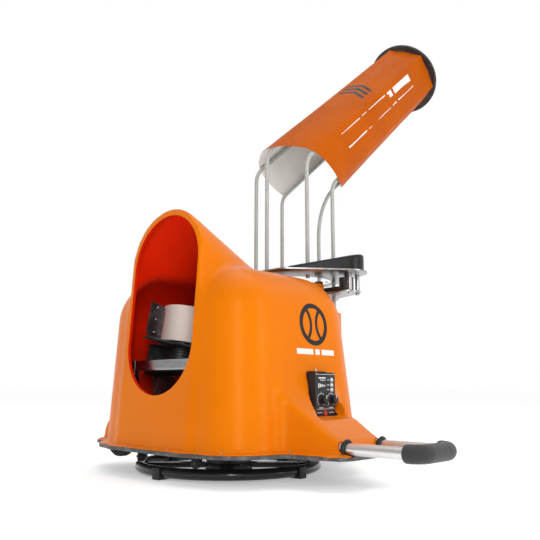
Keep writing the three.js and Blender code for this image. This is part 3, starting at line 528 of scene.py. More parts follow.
def net(f, low, high, step, passes=3):
    """Corners and quads of the surface f = 0: one corner per grid cell that it crosses."""
    count = [int(math.ceil((high[i] - low[i]) / step)) + 1 for i in range(3)]
    axes = [low[i] + step * np.arange(count[i]) for i in range(3)]
    values = f(*np.meshgrid(*axes, indexing="ij"))
    inside = values < 0
    total = np.zeros([n - 1 for n in count], int)
    for corner in np.ndindex(2, 2, 2):
        part = tuple(slice(c, n - 1 + c) for c, n in zip(corner, count))
        total += inside[part]
    crossed = (total > 0) & (total < 8)
    index = -np.ones(crossed.shape, int)
    index[crossed] = np.arange(crossed.sum())
    cells = np.argwhere(crossed)
    sums = np.zeros((len(cells), 3))
    hits = np.zeros(len(cells))
    for a in np.ndindex(2, 2, 2):
        for axis in range(3):
            if a[axis]:
                continue
            a0 = np.array(a)
            b0 = a0 + np.eye(3, dtype=int)[axis]
            fa, fb = values[tuple((cells + a0).T)], values[tuple((cells + b0).T)]
            hit = (fa < 0) != (fb < 0)
            t = np.where(hit, fa / np.where(hit, fa - fb, 1), 0)
            sums += np.where(hit[:, None], a0 + t[:, None] * (b0 - a0), 0)
            hits += hit
    corners = np.array(low) + step * (cells + sums / hits[:, None])
    for _ in range(passes):
        slope = np.stack([(f(*(corners + d).T) - f(*(corners - d).T)) for d in np.eye(3) * 0.5], 1)
        move = f(*corners.T)[:, None] * slope / np.maximum((slope * slope).sum(1), 1e-6)[:, None]
        corners = corners - np.clip(move, -step / 2, step / 2)
    quads = []
    for a in range(3):
        b, d = (a + 1) % 3, (a + 2) % 3
        near, far = [slice(None)] * 3, [slice(None)] * 3
        near[a], far[a] = slice(0, count[a] - 1), slice(1, count[a])
        near[b] = far[b] = slice(1, count[b] - 1)
        near[d] = far[d] = slice(1, count[d] - 1)
        first, second = inside[tuple(near)], inside[tuple(far)]
        base = np.argwhere(first != second)
        if not len(base):
            continue
        outgoing = first[tuple(base.T)]
        base[:, b] += 1
        base[:, d] += 1
        offsets = np.zeros((4, 3), int)
        offsets[1][b] = offsets[2][b] = -1
        offsets[2][d] = offsets[3][d] = -1
        quad = np.stack([index[tuple((base + k).T)] for k in offsets], 1)
        quads.append(np.where(outgoing[:, None], quad, quad[:, ::-1]))
    return corners, np.concatenate(quads)


def clip(corners, faces, keep):
    """Cuts faces where keep(x, y, z) turns negative, and leaves the positive side."""
    g = keep(*np.array(corners).T)
    made = {}
    out = []
    for face in faces:
        good = [g[v] > 0 for v in face]
        if all(good):
            out.append(face)
            continue
        if not any(good):
            continue
        new = []
        for a, b in zip(face, face[1:] + face[:1]):
            if g[a] > 0:
                new.append(a)
            if (g[a] > 0) != (g[b] > 0):
                key = (min(a, b), max(a, b))
                if key not in made:
                    t = g[a] / (g[a] - g[b])
                    made[key] = len(corners)
                    corners.append(corners[a] * (1 - t) + corners[b] * t)
                new.append(made[key])
        if len(new) > 2:
            out.append(new)
    return corners, out


def build_shell():
    corners, quads = net(skin_with_flange, (-440, -400, 50), (300, 480, 690), 7.5)
    corners, faces = list(corners), quads.tolist()
    cuts = [
        # the open foot, the mouth, the control box's hole and the cart wheels' slots
        lambda x, y, z: z - SHELL_LOW,
        lambda x, y, z: highest(mouth(x, y, z), face_x(z) - MOUTH_LIP - x),
        lambda x, y, z: highest(np.abs(x + 39) - 40, np.abs(z - 188.5) - 57.5, 200 - y, y - 294),
        lambda x, y, z: highest(np.abs(np.abs(x) - CART_X) - 20, y + 240,
                                np.hypot(y - CART_Y, np.maximum(z - CART_Z, 0)) - 59),
        # the handle's two holes and the channel's open top
        lambda x, y, z: highest(np.hypot(np.abs(x) - HANDLE_X, z - HANDLE_Z) - 15.5, 372 - y),
        lambda x, y, z: highest(np.hypot(x - CHANNEL_X, y) - 139, 421 - z),
    ]
    for keep in cuts:
        corners, faces = clip(corners, faces, keep)
    o = new_object("shell_moulding", corners, faces, "shell", "chassis", None, None)
    bm = bmesh.new()
    bm.from_mesh(o.data)
    bmesh.ops.remove_doubles(bm, verts=bm.verts, dist=0.0009)
    bmesh.ops.delete(bm, geom=[v for v in bm.verts if not v.link_faces], context="VERTS")
    lip = []
    for e in bm.edges:
        if not e.is_boundary:
            continue
        ends = np.array([v.co[:] for v in e.verts]) / MM
        at_mouth = np.abs(mouth(*ends.T)) < 1.5
        if at_mouth.all() and (ends[:, 0] > face_x(ends[:, 2]) - MOUTH_LIP).all():
            lip.append(e)
    for depth in (2, 6):
        made = bmesh.ops.extrude_edge_only(bm, edges=lip)["geom"]
        corners = {v for v in made if isinstance(v, bmesh.types.BMVert)}
        for v in corners:
            v.co.x -= depth * MM
        # the mouth's inner lip takes the second material: the redder painted shade of the shell's
        # inside
        for face in (v for v in made if isinstance(v, bmesh.types.BMFace)):
            face.material_index = 1
        lip = [e for e in made if isinstance(e, bmesh.types.BMEdge) and e.is_boundary
               and all(v in corners for v in e.verts)]
    bmesh.ops.recalc_face_normals(bm, faces=bm.faces)
    bm.to_mesh(o.data)
    bm.free()
    # the wall's inner faces take the redder painted-shade material
    thicken(o, 4, -1, 42, "shell_inside_painted_shade")
    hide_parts("shell")


def plan_at(z, offset, count):
    """Points round the skin at height z, pushed out by offset."""
    a = 2 * np.pi * np.arange(count) / count
    low, high = np.full(count, 150.0), np.full(count, 560.0)
    for _ in range(26):
        r = (low + high) / 2
        inside = skin(r * np.cos(a), r * np.sin(a), np.full(count, float(z))) < offset
        low, high = np.where(inside, r, low), np.where(inside, high, r)
    return np.stack([low * np.cos(a), low * np.sin(a)], 1)


build_shell()


def screw_head(name, place, radius, body="chassis", material="bright_steel"):
    profile = [(0, 0.35 * radius), (0.34 * radius, 0.35 * radius), (0.42 * radius, 0.5 * radius),
               (0.72 * radius, 0.46 * radius), (radius, 0.16 * radius), (radius, 0), (0, 0)]
    return lathe(name, rounded(profile, 0.25), material, body, place, 28, 50)


def flange_screws():
    """Small screws at even spaces round the foot, but not by the cart wheels or the handle."""
    plan = plan_at(70, 10, 720)
    run = np.hypot(*(np.roll(plan, -1, 0) - plan).T)
    along = np.cumsum(run)
    heads = []
    for i in range(1, 17):
        k = int(np.searchsorted(along, along[-1] * (i - 0.5) / 16))
        x, y = plan[k]
        if y < -300 or (abs(abs(x) - 64) < 26 and y > 380):
            continue
        place = frame_at((x, y, FLANGE_TOP), UP)
        heads.append(screw_head(f"flange_screw_{i}", place, 3.6))
    join_meshes("flange_screws", heads)


flange_screws()


# ---- base
circle = [(RING_RADIUS * math.cos(a), RING_RADIUS * math.sin(a), RING_Z)
          for a in np.linspace(0, 2 * math.pi, 180, endpoint=False)]
base_ring = sweep("base_ring_tube", circle, RING_TUBE, "black_gloss", "base", 32, True)
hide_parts("base_ring")
refine("base_cross_with_spindle", "black_gloss", 1.2, "base")
refine("centre_pad", "rubber", 1.0, "base")
for side in ("front", "left", "rear", "right"):
    refine(f"foot_{side}", "plastic", 1.6, "base", "black_rubber")

refine("turntable_hub", "grey_powder", 0.8)
refine("base_plate", "grey_powder", 0.5)
# four rollers run on the ring, at these angles round it
for i, angle in enumerate((28, 152, 208, 332), 1):
    a = math.radians(angle)
    out = (math.cos(a), math.sin(a), 0)
    place = frame_at((RING_RADIUS * out[0], RING_RADIUS * out[1], 40.8), out, UP)
    profile = [(3.5, -8), (10.4, -8), (12, -6.4), (12, 6.4), (10.4, 8), (3.5, 8), (3.5, -8)]
    roller = lathe(f"ring_roller_tyre_{i}", rounded(profile, 0.8), "rubber", f"roller_{i}",
                   place, 48)
    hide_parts(f"ring_roller_{i}")

for side, name in ((1, "front"), (-1, "rear")):
    place = frame_at((side * CART_X, CART_Y, CART_Z), FORWARD, UP)
    body = f"cart_wheel_{name}_body"
    tyre = [(41, -15.6), (50, -16), (54.2, -11)]
    for z in (-9, -3, 3):
        tyre += [(55, z), (55, z + 4.2), (53.4, z + 4.6), (53.4, z + 5.6)]
    tyre += [(54.2, 11), (50, 16), (41, 15.6), (40, 7.2), (40, -7.2), (41, -15.6)]
    rubber_part = lathe(f"cart_tyre_{name}", rounded(tyre, 0.5), "rubber", body, place, 96, 45)
    disc = [(4.5, -12), (14, -12), (15, -7), (24, -5), (33, -5.5), (40, -9), (40, 9), (33, 5.5),
            (24, 5), (15, 7), (14, 12), (4.5, 12), (4.5, -12)]
    lathe(f"cart_rim_{name}", rounded(disc, 0.8), "plastic", body, place, 72)
    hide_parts(f"cart_wheel_{name}")
    refine(f"cart_wheel_bracket_{name}", "steel", 0.5)


# ---- control box
def flat_piece(name, polygons, y, material, body="chassis", thick=0.2):
    """Thin flat prints on a plane that faces +Y; polygons are lists of [x, z]."""
    bm = bmesh.new()
    for polygon in polygons:
        front = [bm.verts.new((x * MM, (y + thick) * MM, z * MM)) for x, z in polygon]
        back = [bm.verts.new((x * MM, y * MM, z * MM)) for x, z in polygon]
        bm.faces.new(front)
        bm.faces.new(back[::-1])
        n = len(polygon)
        for i in range(n):
            j = (i + 1) % n
            bm.faces.new((front[i], back[i], back[j], front[j]))
    bmesh.ops.recalc_face_normals(bm, faces=bm.faces)
    mesh = bpy.data.meshes.new(name)
    bm.to_mesh(mesh)
    bm.free()
    finish_object(name, mesh, material, body, "button_plastic", None)


def bar_shape(x0, x1, z0, z1):
    return [(x0, z0), (x1, z0), (x1, z1), (x0, z1)]


def polar(x, z, radius, angle, aside=0.0):
    """The point at a radius and angle round x and z, moved sideways by aside."""
    c, s = math.cos(angle), math.sin(angle)
    return x + radius * c - aside * s, z + radius * s + aside * c


def arc_shapes(x, z, radius, wide, start, end, steps=24):
    """Short quads that make an arc band."""
    out = []
    r0, r1 = radius - wide / 2, radius + wide / 2
    for i in range(steps):
        a = math.radians(start + (end - start) * i / steps)
        b = math.radians(start + (end - start) * (i + 1) / steps)
        out.append([polar(x, z, r, angle) for r, angle in ((r0, a), (r1, a), (r1, b), (r0, b))])
    return out


def dial(x, z, radius):
    """A scale of eleven marks on an arc; every fifth mark is long."""
    shapes = arc_shapes(x, z, radius, 0.9, -50, 230)
    for k in range(11):
        a = math.radians(-50 + 28 * k)
        r0 = radius + 0.8
        r1 = r0 + (3.6 if k % 5 == 0 else 2.2)
        shapes.append([polar(x, z, r, a, w) for r, w in ((r0, 0.4), (r1, 0.4), (r1, -0.4), (r0, -0.4))])
    return shapes


refine("control_box", "panel", 1.4)
prints = dial(KNOB_X["left"], KNOB_Z, 13.2) + dial(KNOB_X["right"], KNOB_Z, 13.2)
prints += [bar_shape(-72, -6, 238.2, 238.9), bar_shape(-72, -6, 158.2, 158.9)]
prints += [bar_shape(-40, -14, 229, 231.6), bar_shape(-40, -20, 224.6, 226)]
for z in BUTTON_Z.values():
    prints.append(bar_shape(-54, -46, z - 0.6, z + 0.6))
prints += [bar_shape(-31, -15, 160.6, 162), bar_shape(-68, -52, 160.6, 162)]
for k in range(4):
    prints.append(bar_shape(-38 + 7 * k, -34 + 7 * k, 211 - 1.2 * k, 214 + 1.2 * k))
prints += [bar_shape(-70, -52, 150, 151.2), bar_shape(-26, -8, 150, 151.2)]
flat_piece("panel_print", prints, PANEL_Y, "print_white")
dot = [polar(-39, 149, 6.5, a) for a in np.linspace(0, 2 * math.pi, 40, endpoint=False)]
flat_piece("panel_mark", [dot], PANEL_Y + 0.2, "print_red")
for i, (x, z) in enumerate(((-72, 239.5), (-6, 239.5), (-72, 137.6), (-6, 137.6)), 1):
    screw_head(f"panel_screw_{i}", frame_at((x, PANEL_Y, z), LEFT), 2.2, material="steel")

for side, x in KNOB_X.items():
    place = frame_at((x, PANEL_Y, KNOB_Z), LEFT)
    knob = [(0, 0.5), (11.4, 0.5), (11.4, 2.4), (9.4, 3.6), (8.8, 15), (7.6, 16.2), (0, 16.4)]
    cap = lathe(f"knob_cap_{side}", rounded(knob, 0.8), "plastic", f"{side}_knob",
                place, 64, 40)
    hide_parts(f"knob_{side}")
    ribs = []
    for k in range(20):
        a = 2 * math.pi * k / 20
        line = [place @ Vector((9.1 * math.cos(a), 9.1 * math.sin(a), h)) for h in (4.2, 14.4)]
        ribs.append(sweep(f"rib_{side}_{k}", line, 0.55, "plastic", f"{side}_knob", 8))
    join_meshes(f"knob_ribs_{side}", ribs)
    flat_piece(f"knob_pointer_{side}", [bar_shape(x - 0.8, x + 0.8, 183, 190.5)],
               PANEL_Y + 16.2, "print_white", f"{side}_knob", 0.5)
for name, z in BUTTON_Z.items():
    place = frame_at((BUTTON_X, PANEL_Y + 3, z), LEFT)
    button = [(0, -8), (4, -8), (4, -1.4), (3.3, -0.3), (0, 0)]
    cap = lathe(f"button_cap_{name}", rounded(button, 0.8), "button", f"{name}_button",
                place, 40, 50)
    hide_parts(f"button_{name}")
    ring = [(4.6, 0), (6.6, 0), (6.4, 0.9), (5.0, 0.9), (4.6, 0)]
    lathe(f"button_ring_{name}", ring, "bright_steel", "chassis",
          frame_at((BUTTON_X, PANEL_Y, z), LEFT), 40, 50)
stick = [(0, -6), (1.5, -6), (1.6, 0), (2.4, 7), (2.1, 9.2), (0, 10)]
lever = lathe("toggle_stick", rounded(stick, 0.6), "bright_steel", "toggle",
              frame_at((-18, 276, 243), UP), 32, 50)
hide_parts("power_toggle")


# ---- pull-out handle
def handle_points(start, step=6):
    """The U-shaped line of the handle: two legs along Y and a cross bar with round corners."""
    points = [(HANDLE_X, start, HANDLE_Z), (HANDLE_X, HANDLE_CORNER_Y, HANDLE_Z)]
    for a in range(step, 91, step):
        c, s = math.cos(math.radians(a)), math.sin(math.radians(a))
        points.append((HANDLE_X - HANDLE_BEND + HANDLE_BEND * c, HANDLE_CORNER_Y + HANDLE_BEND * s,
                       HANDLE_Z))
    mirrored = [(-x, y, z) for x, y, z in reversed(points)]
    return points + mirrored


tube_piece = sweep("handle_bar", handle_points(230), 12.4, "alu", "handle", 32)
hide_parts("handle_tube")


def grip():
    """The foam sleeve over the cross bar, a little thinner at its ends."""
    path = [Vector(p) for p in handle_points(564, 3)]
    fine = []
    for a, b in zip(path, path[1:]):
        n = max(1, int((b - a).length / 3))
        fine += [a.lerp(b, i / n) for i in range(n)]
    fine.append(path[-1])
    total = len(fine)
    radii = []
    for i in range(total):
        end = min(i, total - 1 - i)
        radii.append(18.6 - 2.4 * math.exp(-end / 1.2) + 0.12 * math.sin(i * 0.9))
    o = sweep("handle_foam", fine, radii, "foam", "handle", 40)
    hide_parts("handle_grip")


grip()
refine("handle_guide", "black_satin", 1.2)
for side in (1, -1):
    place = frame_at((side * HANDLE_X, TAIL_TIP + 0.4, HANDLE_Z), LEFT)
    ring = [(13.2, -6), (15.2, -6), (15.4, 0.2), (19.6, 0.4), (19.8, 2.6), (18.4, 3.6),
            (13.6, 3.6), (13.2, 2.8), (13.2, -6)]
    lathe(f"handle_bush_{'left' if side > 0 else 'right'}", rounded(ring, 0.5), "plastic",
          "chassis", place, 64)


# ---- supports and chute
refine("battery", "black_satin", 3.0)
for node in ("tilt_bracket_left", "tilt_bracket_right"):
    refine(node, "grey_powder", 0.7)
refine("front_crossbar", "bright_steel", 1.2)
refine("tilt_motor", "black_satin", 0.8)
refine("ball_chute", "grey_powder", 0.6)
for y in (136, -136):
    screw_head(f"crossbar_bolt_{'left' if y > 0 else 'right'}",
               frame_at((194.2, y, 262), FORWARD), 7.5)


# ---- feeder
refine("feed_upper_plate", "steel", 0.5)
refine("feed_lower_plate", "steel", 0.5)
for i, (x, y) in enumerate(((-284, 212), (-236, 221)), 1):
    place = frame_at((x, y, 0), UP)
    post = [(0, 461), (5.4, 461), (5.4, 465.6), (3.1, 465.6), (3.1, 470.4), (6.2, 470.6),
            (6.2, 516.4), (3.1, 516.6), (3.1, 521), (0, 521)]
    o = lathe(f"spacer_post_{i}", rounded(post, 0.4), "bright_steel", "chassis", place, 40)
    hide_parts(f"feed_spacer_{i}")
refine("feed_motor", "black_satin", 0.8)
refine("feed_lever", "black_satin", 1.6, "lever")
for x, y in ((-160, 118), (-120, -118), (-290, -118), (-338, 60)):
    screw_head(f"plate_screw_{abs(x)}", frame_at((x, y, PLATE_TOP), UP), 5.5)

COVER = {"x": -252, "y": 197, "radius": 50, "tip_x": -115, "tip_y": 116, "tip_radius": 16,
         "low": 521.35, "tip_high": 534, "rise": 0.195}


def cover_ring(inset, count=120):
    """The outline round two discs, pulled in by inset, as [x, y] points."""
    c = COVER
    r1, r2 = c["radius"] - inset, c["tip_radius"] - inset
    dx, dy = c["tip_x"] - c["x"], c["tip_y"] - c["y"]
    turn = math.atan2(dy, dx)
    spread = math.acos((c["radius"] - c["tip_radius"]) / math.hypot(dx, dy))
    points = []
    for i in range(count // 2 + 1):
        a = turn + spread + (2 * math.pi - 2 * spread) * i / (count // 2)
        points.append((c["x"] + r1 * math.cos(a), c["y"] + r1 * math.sin(a)))
    tip = []
    for i in range(count // 4 + 1):
        a = turn - spread + 2 * spread * i / (count // 4)
        tip.append((c["tip_x"] + r2 * math.cos(a), c["tip_y"] + r2 * math.sin(a)))
    to_tip = [mix(points[-1], tip[0], i / 12) for i in range(1, 12)]
    back = [mix(tip[-1], points[0], i / 12) for i in range(1, 12)]
    return points + to_tip + tip + back


def cover_top(x, y):
    """The height of the cover's top, which rises from the tip."""
    c = COVER
    dx, dy = c["x"] - c["tip_x"], c["y"] - c["tip_y"]
    s = ((x - c["tip_x"]) * dx + (y - c["tip_y"]) * dy) / math.hypot(dx, dy)
    return c["tip_high"] + c["rise"] * s


def build_cover():
    base = COVER["low"]
    # each ring: how far in, how far from the base up to the sloping top, and what is added
    foot = ((3.4, 0), (-5.6, 0), (-6.2, 0.6), (-6.2, 2.2), (-5.4, 3.0), (-1.0, 3.2), (-0.2, 4.2))
    rings = [(inset, 0, up) for inset, up in foot]
    rings += [(0.02 * i, i / 6, 4.2 - 13.2 * i / 6) for i in range(1, 6)]
    for a in np.linspace(0, math.pi / 2, 7):
        rings.append((0.1 + 8.6 * (1 - math.cos(a)), 1, -9 * (1 - math.sin(a))))
    vertices, faces = [], []
    for inset, share, up in rings:
        ring = cover_ring(inset)
        vertices += [(x, y, base + (cover_top(x, y) - base) * share + up) for x, y in ring]
    count = len(ring)
    for k in range(len(rings) - 1):
        for i in range(count):
            j = (i + 1) % count
            faces.append([k * count + i, k * count + j, (k + 1) * count + j, (k + 1) * count + i])
    last = (len(rings) - 1) * count
    faces.append(list(range(last, last + count)))
    o = new_object("feed_cover_moulding", vertices, faces, "cover", "chassis", None, None)
    outward(o)
    shade(o, 50)
    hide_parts("feed_cover")
    lugs = cover_ring(-3.2)
    for k in (8, 30, 52, 78):
        x, y = lugs[k]
        screw_head(f"cover_screw_{k}", frame_at((x, y, COVER["low"] + 3.1), UP), 2.8)


build_cover()


# ---- ball channel
TURN = math.radians(SLOPE)
TOP = Matrix(((math.cos(TURN), 0, -math.sin(TURN), CHANNEL_X), (0, 1, 0, 0),
              (math.sin(TURN), 0, math.cos(TURN), BEND_Z), (0, 0, 0, 1)))
# each rod's name, its place round the channel in degrees, and the radius of its bend
RODS = (("front", 0, 80), ("left_front", 60, 70), ("left_rear", 120, 60), ("rear", 180, 250),
        ("right_rear", 240, 60), ("right_front", 300, 70))


def rod_points(beta, bend):
    """A rod's line: upright, then a bend, then along the sloping part of the channel."""
    b = math.radians(beta)
    offset = ROD_CIRCLE * math.cos(b)
    x, y = CHANNEL_X + offset, ROD_CIRCLE * math.sin(b)
    along = Vector((-math.sin(TURN), 0, math.cos(TURN)))
    corner = Vector((x, y, BEND_Z + offset * math.tan(TURN / 2)))
    reach = bend * math.tan(TURN / 2)
    start = 300.5 if math.cos(b) < -0.1 else 512
    low = corner.z - reach
    points = [Vector((x, y, start + (low - start) * i / 8)) for i in range(8)]
    for i in range(25):
        a = TURN * i / 24
        points.append(Vector((x - bend * (1 - math.cos(a)), y, low + bend * math.sin(a))))
    end = corner + along * (RING_HEIGHT - 6.4 + offset * math.tan(TURN / 2))
    first = points[-1]
    points += [first.lerp(end, i / 14) for i in range(1, 15)]
    return points


for name, beta, bend in RODS:
    rod = sweep(f"rod_{name}", rod_points(beta, bend), ROD_RADIUS, "white_rod", "chassis", 24)
    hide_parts(f"channel_rod_{name}")

low, high = RING_HEIGHT - 5.8, RING_HEIGHT + 5.8
disc = [(112.5, low), (124, low), (136, low), (136, high), (112.5, high), (112.5, low)]
top_ring = lathe("top_ring", rounded(disc, 1.2), "black_satin", "chassis", TOP, 160, 40)
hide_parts("channel_top_ring")
for name, beta, _ in RODS:
    b = math.radians(beta)
    place = TOP @ Matrix.Translation((ROD_CIRCLE * math.cos(b), ROD_CIRCLE * math.sin(b), high - 0.2))
    screw_head(f"ring_screw_{name}", place, 5.0)

# The banner's places are [angle round the channel, height along it above the bend].
BANNER_EDGE = ((240, 54), (300, 8), (360, -46), (420, 8), (480, 54), (540, 200))
BANNER_START, BANNER_END = BANNER_EDGE[0][0], BANNER_EDGE[-1][0]
BANNER_TOP, BANNER_RADIUS, BANNER_LEAST = 877.6, 126.7, 112.6


def banner_low(beta):
    for (a, low), (b, high) in zip(BANNER_EDGE, BANNER_EDGE[1:]):
        if beta <= b:
            return low + (high - low) * (beta - a) / (b - a)


def banner_radius(beta, s):
    """Round at the low end, and nearly flat from rod to rod at the top."""
    wave = math.sin(s / 57 + beta / 31) * 0.35 + math.sin(s / 23 - beta / 17) * 0.15
    between = math.sin(math.radians(3 * beta)) ** 2
    round_wrap = BANNER_RADIUS - 4 * between + wave * between
    flat_wrap = max(BANNER_LEAST, BANNER_RADIUS * math.cos(math.radians(30)) /
                    math.cos(math.radians(beta % 60 - 30)))
    t = min(max((s - 60) / 800, 0), 1)
    return round_wrap * (1 - t) + flat_wrap * t


def on_banner(beta, s, lift=0.0):
    r = banner_radius(beta, s) + lift
    b = math.radians(beta)
    return TOP @ Vector((r * math.cos(b), r * math.sin(b), s))


def build_banner():
    """The banner sheet, with a raised hem round its edge."""
    columns, rows = 120, 64
    vertices, faces = [], []
    for i in range(columns + 1):
        beta = BANNER_START + (BANNER_END - BANNER_START) * i / columns
        low = banner_low(beta)
        for k in range(rows + 1):
            s = low + (BANNER_TOP - low) * k / rows
            across = min(beta - BANNER_START, BANNER_END - beta)
            edge = min(s - low, BANNER_TOP - s, across * 2.2)
            hem = 0.0 if edge > 16 else 0.55
            vertices.append(on_banner(beta, s, hem))
    for i in range(columns):
        for k in range(rows):
            a = i * (rows + 1) + k
            faces.append([a, a + rows + 1, a + rows + 2, a + 1])
    o = new_object("banner_sheet", vertices, faces, "banner", "chassis", None, None)
    outside = o.data.polygons[0].normal
    centre = TOP @ Vector((0, 0, 400)) * MM
    if outside.dot(o.data.polygons[0].center - centre) < 0:
        o.data.flip_normals()
    thicken(o, 0.9, 1, 50, "banner_inside")
    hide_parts("banner")


build_banner()


def laid_print(name, shapes, material, slot, counts, point, thickness, offset, flip):
    """Four-cornered shapes, each split into a grid whose points are laid on a surface."""
    vertices, faces = [], []
    for a, b, c, d in shapes:
        nu, nv = counts(a, b, c, d)
        start = len(vertices)
        for u in np.arange(nu + 1) / nu:
            for v in np.arange(nv + 1) / nv:
                near, far = mix(a, b, u), mix(d, c, u)
                vertices.append(point(*mix(near, far, v)))
        for i in range(nu):
            for k in range(nv):
                p = start + i * (nv + 1) + k
                face = [p, p + nv + 1, p + nv + 2, p + 1]
                faces.append([p] + face[:0:-1] if flip else face)
    o = new_object(name, vertices, faces, material, "chassis", slot, None)
    thicken(o, thickness, offset, 50)


def banner_print(name, shapes, material):
    """Shapes of [angle, height] corners, just off the banner."""
    def counts(a, b, c, d):
        return (int(max(abs(b[0] - a[0]), abs(c[0] - d[0])) / 2.5) + 1,
                int(max(abs(d[1] - a[1]), abs(c[1] - b[1])) / 12) + 1)

    def point(beta, s):
        return on_banner(beta, s, 1.15)

    laid_print(name, shapes, material, "banner_fabric", counts, point, 0.12, 1, False)


banner_print("banner_bars", [
    [(68, s0), (68, s1), (92, s1), (92, s0)]
    for s0, s1 in ((165, 300), (318, 352), (370, 505), (523, 557), (575, 720))
], "print_white")
banner_print("banner_chevrons", [
    shape for k in range(3) for shape in (
        [(6, 400 + 32 * k), (27, 420 + 32 * k), (27, 438 + 32 * k), (6, 418 + 32 * k)],
        [(27, 420 + 32 * k), (48, 400 + 32 * k), (48, 418 + 32 * k), (27, 438 + 32 * k)],
    )
], "print_black")


# ---- prints on the shell
def side_point(x, z):
    """The point of the shell's left side at x and z, pushed out by a quarter of a millimetre."""
    low, high = 120.0, 420.0
    for _ in range(24):
        y = (low + high) / 2
        if float(skin(np.float64(x), np.float64(y), np.float64(z))) < 0.25:
            low = y
        else:
            high = y
    return x, low, z


def side_print(name, shapes, material):
    """Shapes of [x, z] corners, just off the shell's left side."""
    def counts(a, b, c, d):
        return int(math.dist(a, b) / 5) + 1, int(math.dist(a, d) / 5) + 1

    laid_print(name, shapes, material, "shell_orange", counts, side_point, 0.15, 0, True)


BALL_MARK = (-42, 360)
ball = arc_shapes(*BALL_MARK, 46, 12, 0, 360, 60)
ball += arc_shapes(BALL_MARK[0] - 60, BALL_MARK[1], 50, 9, -42, 42, 24)
ball += arc_shapes(BALL_MARK[0] + 60, BALL_MARK[1], 50, 9, 138, 222, 24)
side_print("side_ball_mark", ball, "print_black")
side_print("side_bars", [
    [(x0, 286), (x1, 286), (x1, 299), (x0, 299)]
    for x0, x1 in ((-112, -64), (-56, -40), (-32, 28))
], "print_white")


# ---- tilting head
LIFT = math.radians(LAUNCH_ANGLE)
HEAD = Matrix(((math.cos(LIFT), 0, -math.sin(LIFT), PIVOT_X), (0, 1, 0, 0),
               (math.sin(LIFT), 0, math.cos(LIFT), PIVOT_Z), (0, 0, 0, 1)))

refine("head_frame", "grey_powder", 0.9, "head")
refine("tilt_sector", "steel", 0.35, "head")
refine("tilt_pinion", "bright_steel", 0.3, "pinion")
# the curved line of an exit guide, in the head's own X and Y
GUIDE = ((84, 150), (96, 137), (110, 127), (125, 120), (141, 116), (157, 114))
for side, name in ((1, "left"), (-1, "right")):
    body = f"{name}_wheel"
    centre = HEAD @ Matrix.Translation((0, side * WHEEL_Y, 0))
    motor = [(0, -118), (36, -118), (40, -116), (42, -112)]
    for k in range(5):
        z = -108 + 8 * k
        motor += [(42, z), (42, z + 5), (40.4, z + 5.6), (40.4, z + 7.4)]
    motor += [(42, -67), (42, -64), (40, -62.4), (0, -62.4)]
    can = lathe(f"motor_can_{name}", rounded(motor, 0.4), "black_satin", "head", centre,
                96, 45)
    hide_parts(f"wheel_motor_{name}")

    core = [(0, -61.7), (8, -61.7), (8, -50), (16, -50), (16, -6), (22, -5), (40, -5),
            (55.6, -7), (55.6, -48), (61.4, -48), (61.4, 48), (55.6, 48), (55.6, 7),
            (40, 5), (22, 5), (16, 6), (16, 42), (6, 42), (4, 40), (0, 40)]
    hub = lathe(f"wheel_hub_{name}", rounded(core, 0.8), "alu", body, centre, 120, 40)
    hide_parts(f"wheel_core_{name}")
    bolts = []
    for k in range(6):
        a = math.pi * k / 3
        spot = centre @ Matrix.Translation((30 * math.cos(a), 30 * math.sin(a), 5))
        bolts.append(screw_head(f"hub_bolt_{name}_{k}", spot, 4.2, body))
    join_meshes(f"hub_bolts_{name}", bolts)
    tread = [(61.9, -50), (66.6, -50), (67.8, -49)]
    for k in range(17):
        z = -46 + 92 * k / 16
        sag = 1.9 * (1 - (z / 50) ** 2)
        tread += [(67.9 - sag, z)]
    tread += [(67.8, 49), (66.6, 50), (61.9, 50), (61.9, -50)]
    tyre = lathe(f"wheel_tyre_{name}", rounded(tread, 0.6), "cream", body, centre, 144, 40)
    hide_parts(f"wheel_tread_{name}")

    refine(f"exit_guide_{name}", "black_satin", 0.5, "head")
    rivets = []
    for (ax, ay), (bx, by) in ((GUIDE[1], GUIDE[2]), (GUIDE[3], GUIDE[4])):
        out = Vector((by - ay, ax - bx, 0)).normalized()
        for z in (-46, -12, 20):
            for sign in (1, -1):
                normal = Vector((out.x, side * out.y, 0)) * sign
                y = (ay + by) / 2 + (3 if out.y * sign > 0 else 0)
                x = (ax + bx) / 2
                place = HEAD @ frame_at((x, side * y, z), normal, (0, 0, 1))
                rivets.append(screw_head(f"rivet_{name}_{len(rivets)}", place, 3.4, "head"))
    join_meshes(f"guide_rivets_{name}", rivets)


# ---- floor, light and camera
def stage(name, data, place=(0, 0, 0)):
    """Something that belongs to the picture and not to the machine."""
    o = bpy.data.objects.new(name, data)
    o.location = place
    bpy.context.scene.collection.objects.link(o)
    return o


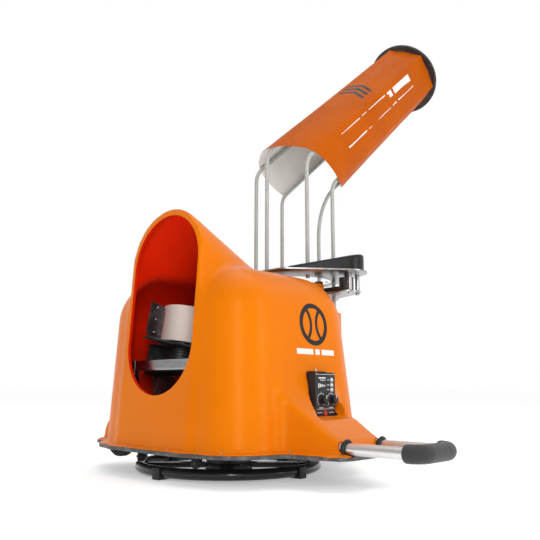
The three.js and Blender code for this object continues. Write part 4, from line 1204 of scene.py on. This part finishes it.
def floor():
    s = Shader("pale_floor", (0.93, 0.93, 0.93), 0.75, spec=0.2)
    s.set("Emission Color", (1, 1, 1, 1))
    s.set("Emission Strength", 0.36)
    s.roughness(s.ramp(s.noise(6, 4), 0.7, 0.8))
    mesh = bpy.data.meshes.new("floor")
    bm = bmesh.new()
    bmesh.ops.create_grid(bm, x_segments=8, y_segments=8, size=40)
    bm.to_mesh(mesh)
    bm.free()
    mesh.materials.append(s.mat)
    stage("floor", mesh, (0, 0, -0.0004))


def softbox(name, at, aim, wide, high, power):
    light = bpy.data.lights.new(name, "AREA")
    light.shape = "RECTANGLE"
    light.size = wide
    light.size_y = high
    light.energy = power
    o = stage(name, light, at)
    o.rotation_euler = (Vector(aim) - Vector(at)).to_track_quat("-Z", "Y").to_euler()


floor()
softbox("key", (1.9, 2.3, 1.3), (0, 0, 0.35), 0.4, 2.2, 32)
softbox("top", (-0.2, 0.4, 3.2), (-0.2, 0.2, 0.3), 2.4, 2.4, 24)
softbox("side", (-0.9, 3.0, 1.2), (0, 0, 0.4), 0.5, 2.0, 20)

# a white room, dimmer behind the camera so that the machine keeps its shading
world = bpy.data.worlds.new("studio")
world.use_nodes = True
nodes, links = world.node_tree.nodes, world.node_tree.links
coord = nodes.new("ShaderNodeTexCoord")
aim = nodes.new("ShaderNodeVectorMath")
aim.operation = "DOT_PRODUCT"
aim.inputs[1].default_value = (-0.726, -0.688, 0.0)
fade = nodes.new("ShaderNodeMapRange")
fade.interpolation_type = "SMOOTHSTEP"
for socket, value in zip(("From Min", "From Max", "To Min", "To Max"), (-0.3, 0.72, 0.42, 1.0)):
    fade.inputs[socket].default_value = value
links.new(coord.outputs["Generated"], aim.inputs[0])
links.new(aim.outputs["Value"], fade.inputs["Value"])
links.new(fade.outputs["Result"], nodes["Background"].inputs["Strength"])
nodes["Background"].inputs["Color"].default_value = (1, 1, 1, 1)
bpy.context.scene.world = world
bpy.context.scene.view_settings.view_transform = "Standard"

# the camera stands low, between the mouth and the control panel's side
camera = bpy.data.cameras.new("camera")
camera.sensor_width = 36
camera.lens = 42.4
camera.clip_start = 0.05
camera.clip_end = 200
eye = bpy.data.objects.new("camera", camera)
eye.location = (1.1594, 1.2433, 0.2070)
eye.rotation_euler = (math.radians(100.5), math.radians(-0.1), math.radians(133.45))
bpy.context.scene.collection.objects.link(eye)
bpy.context.scene.camera = eye
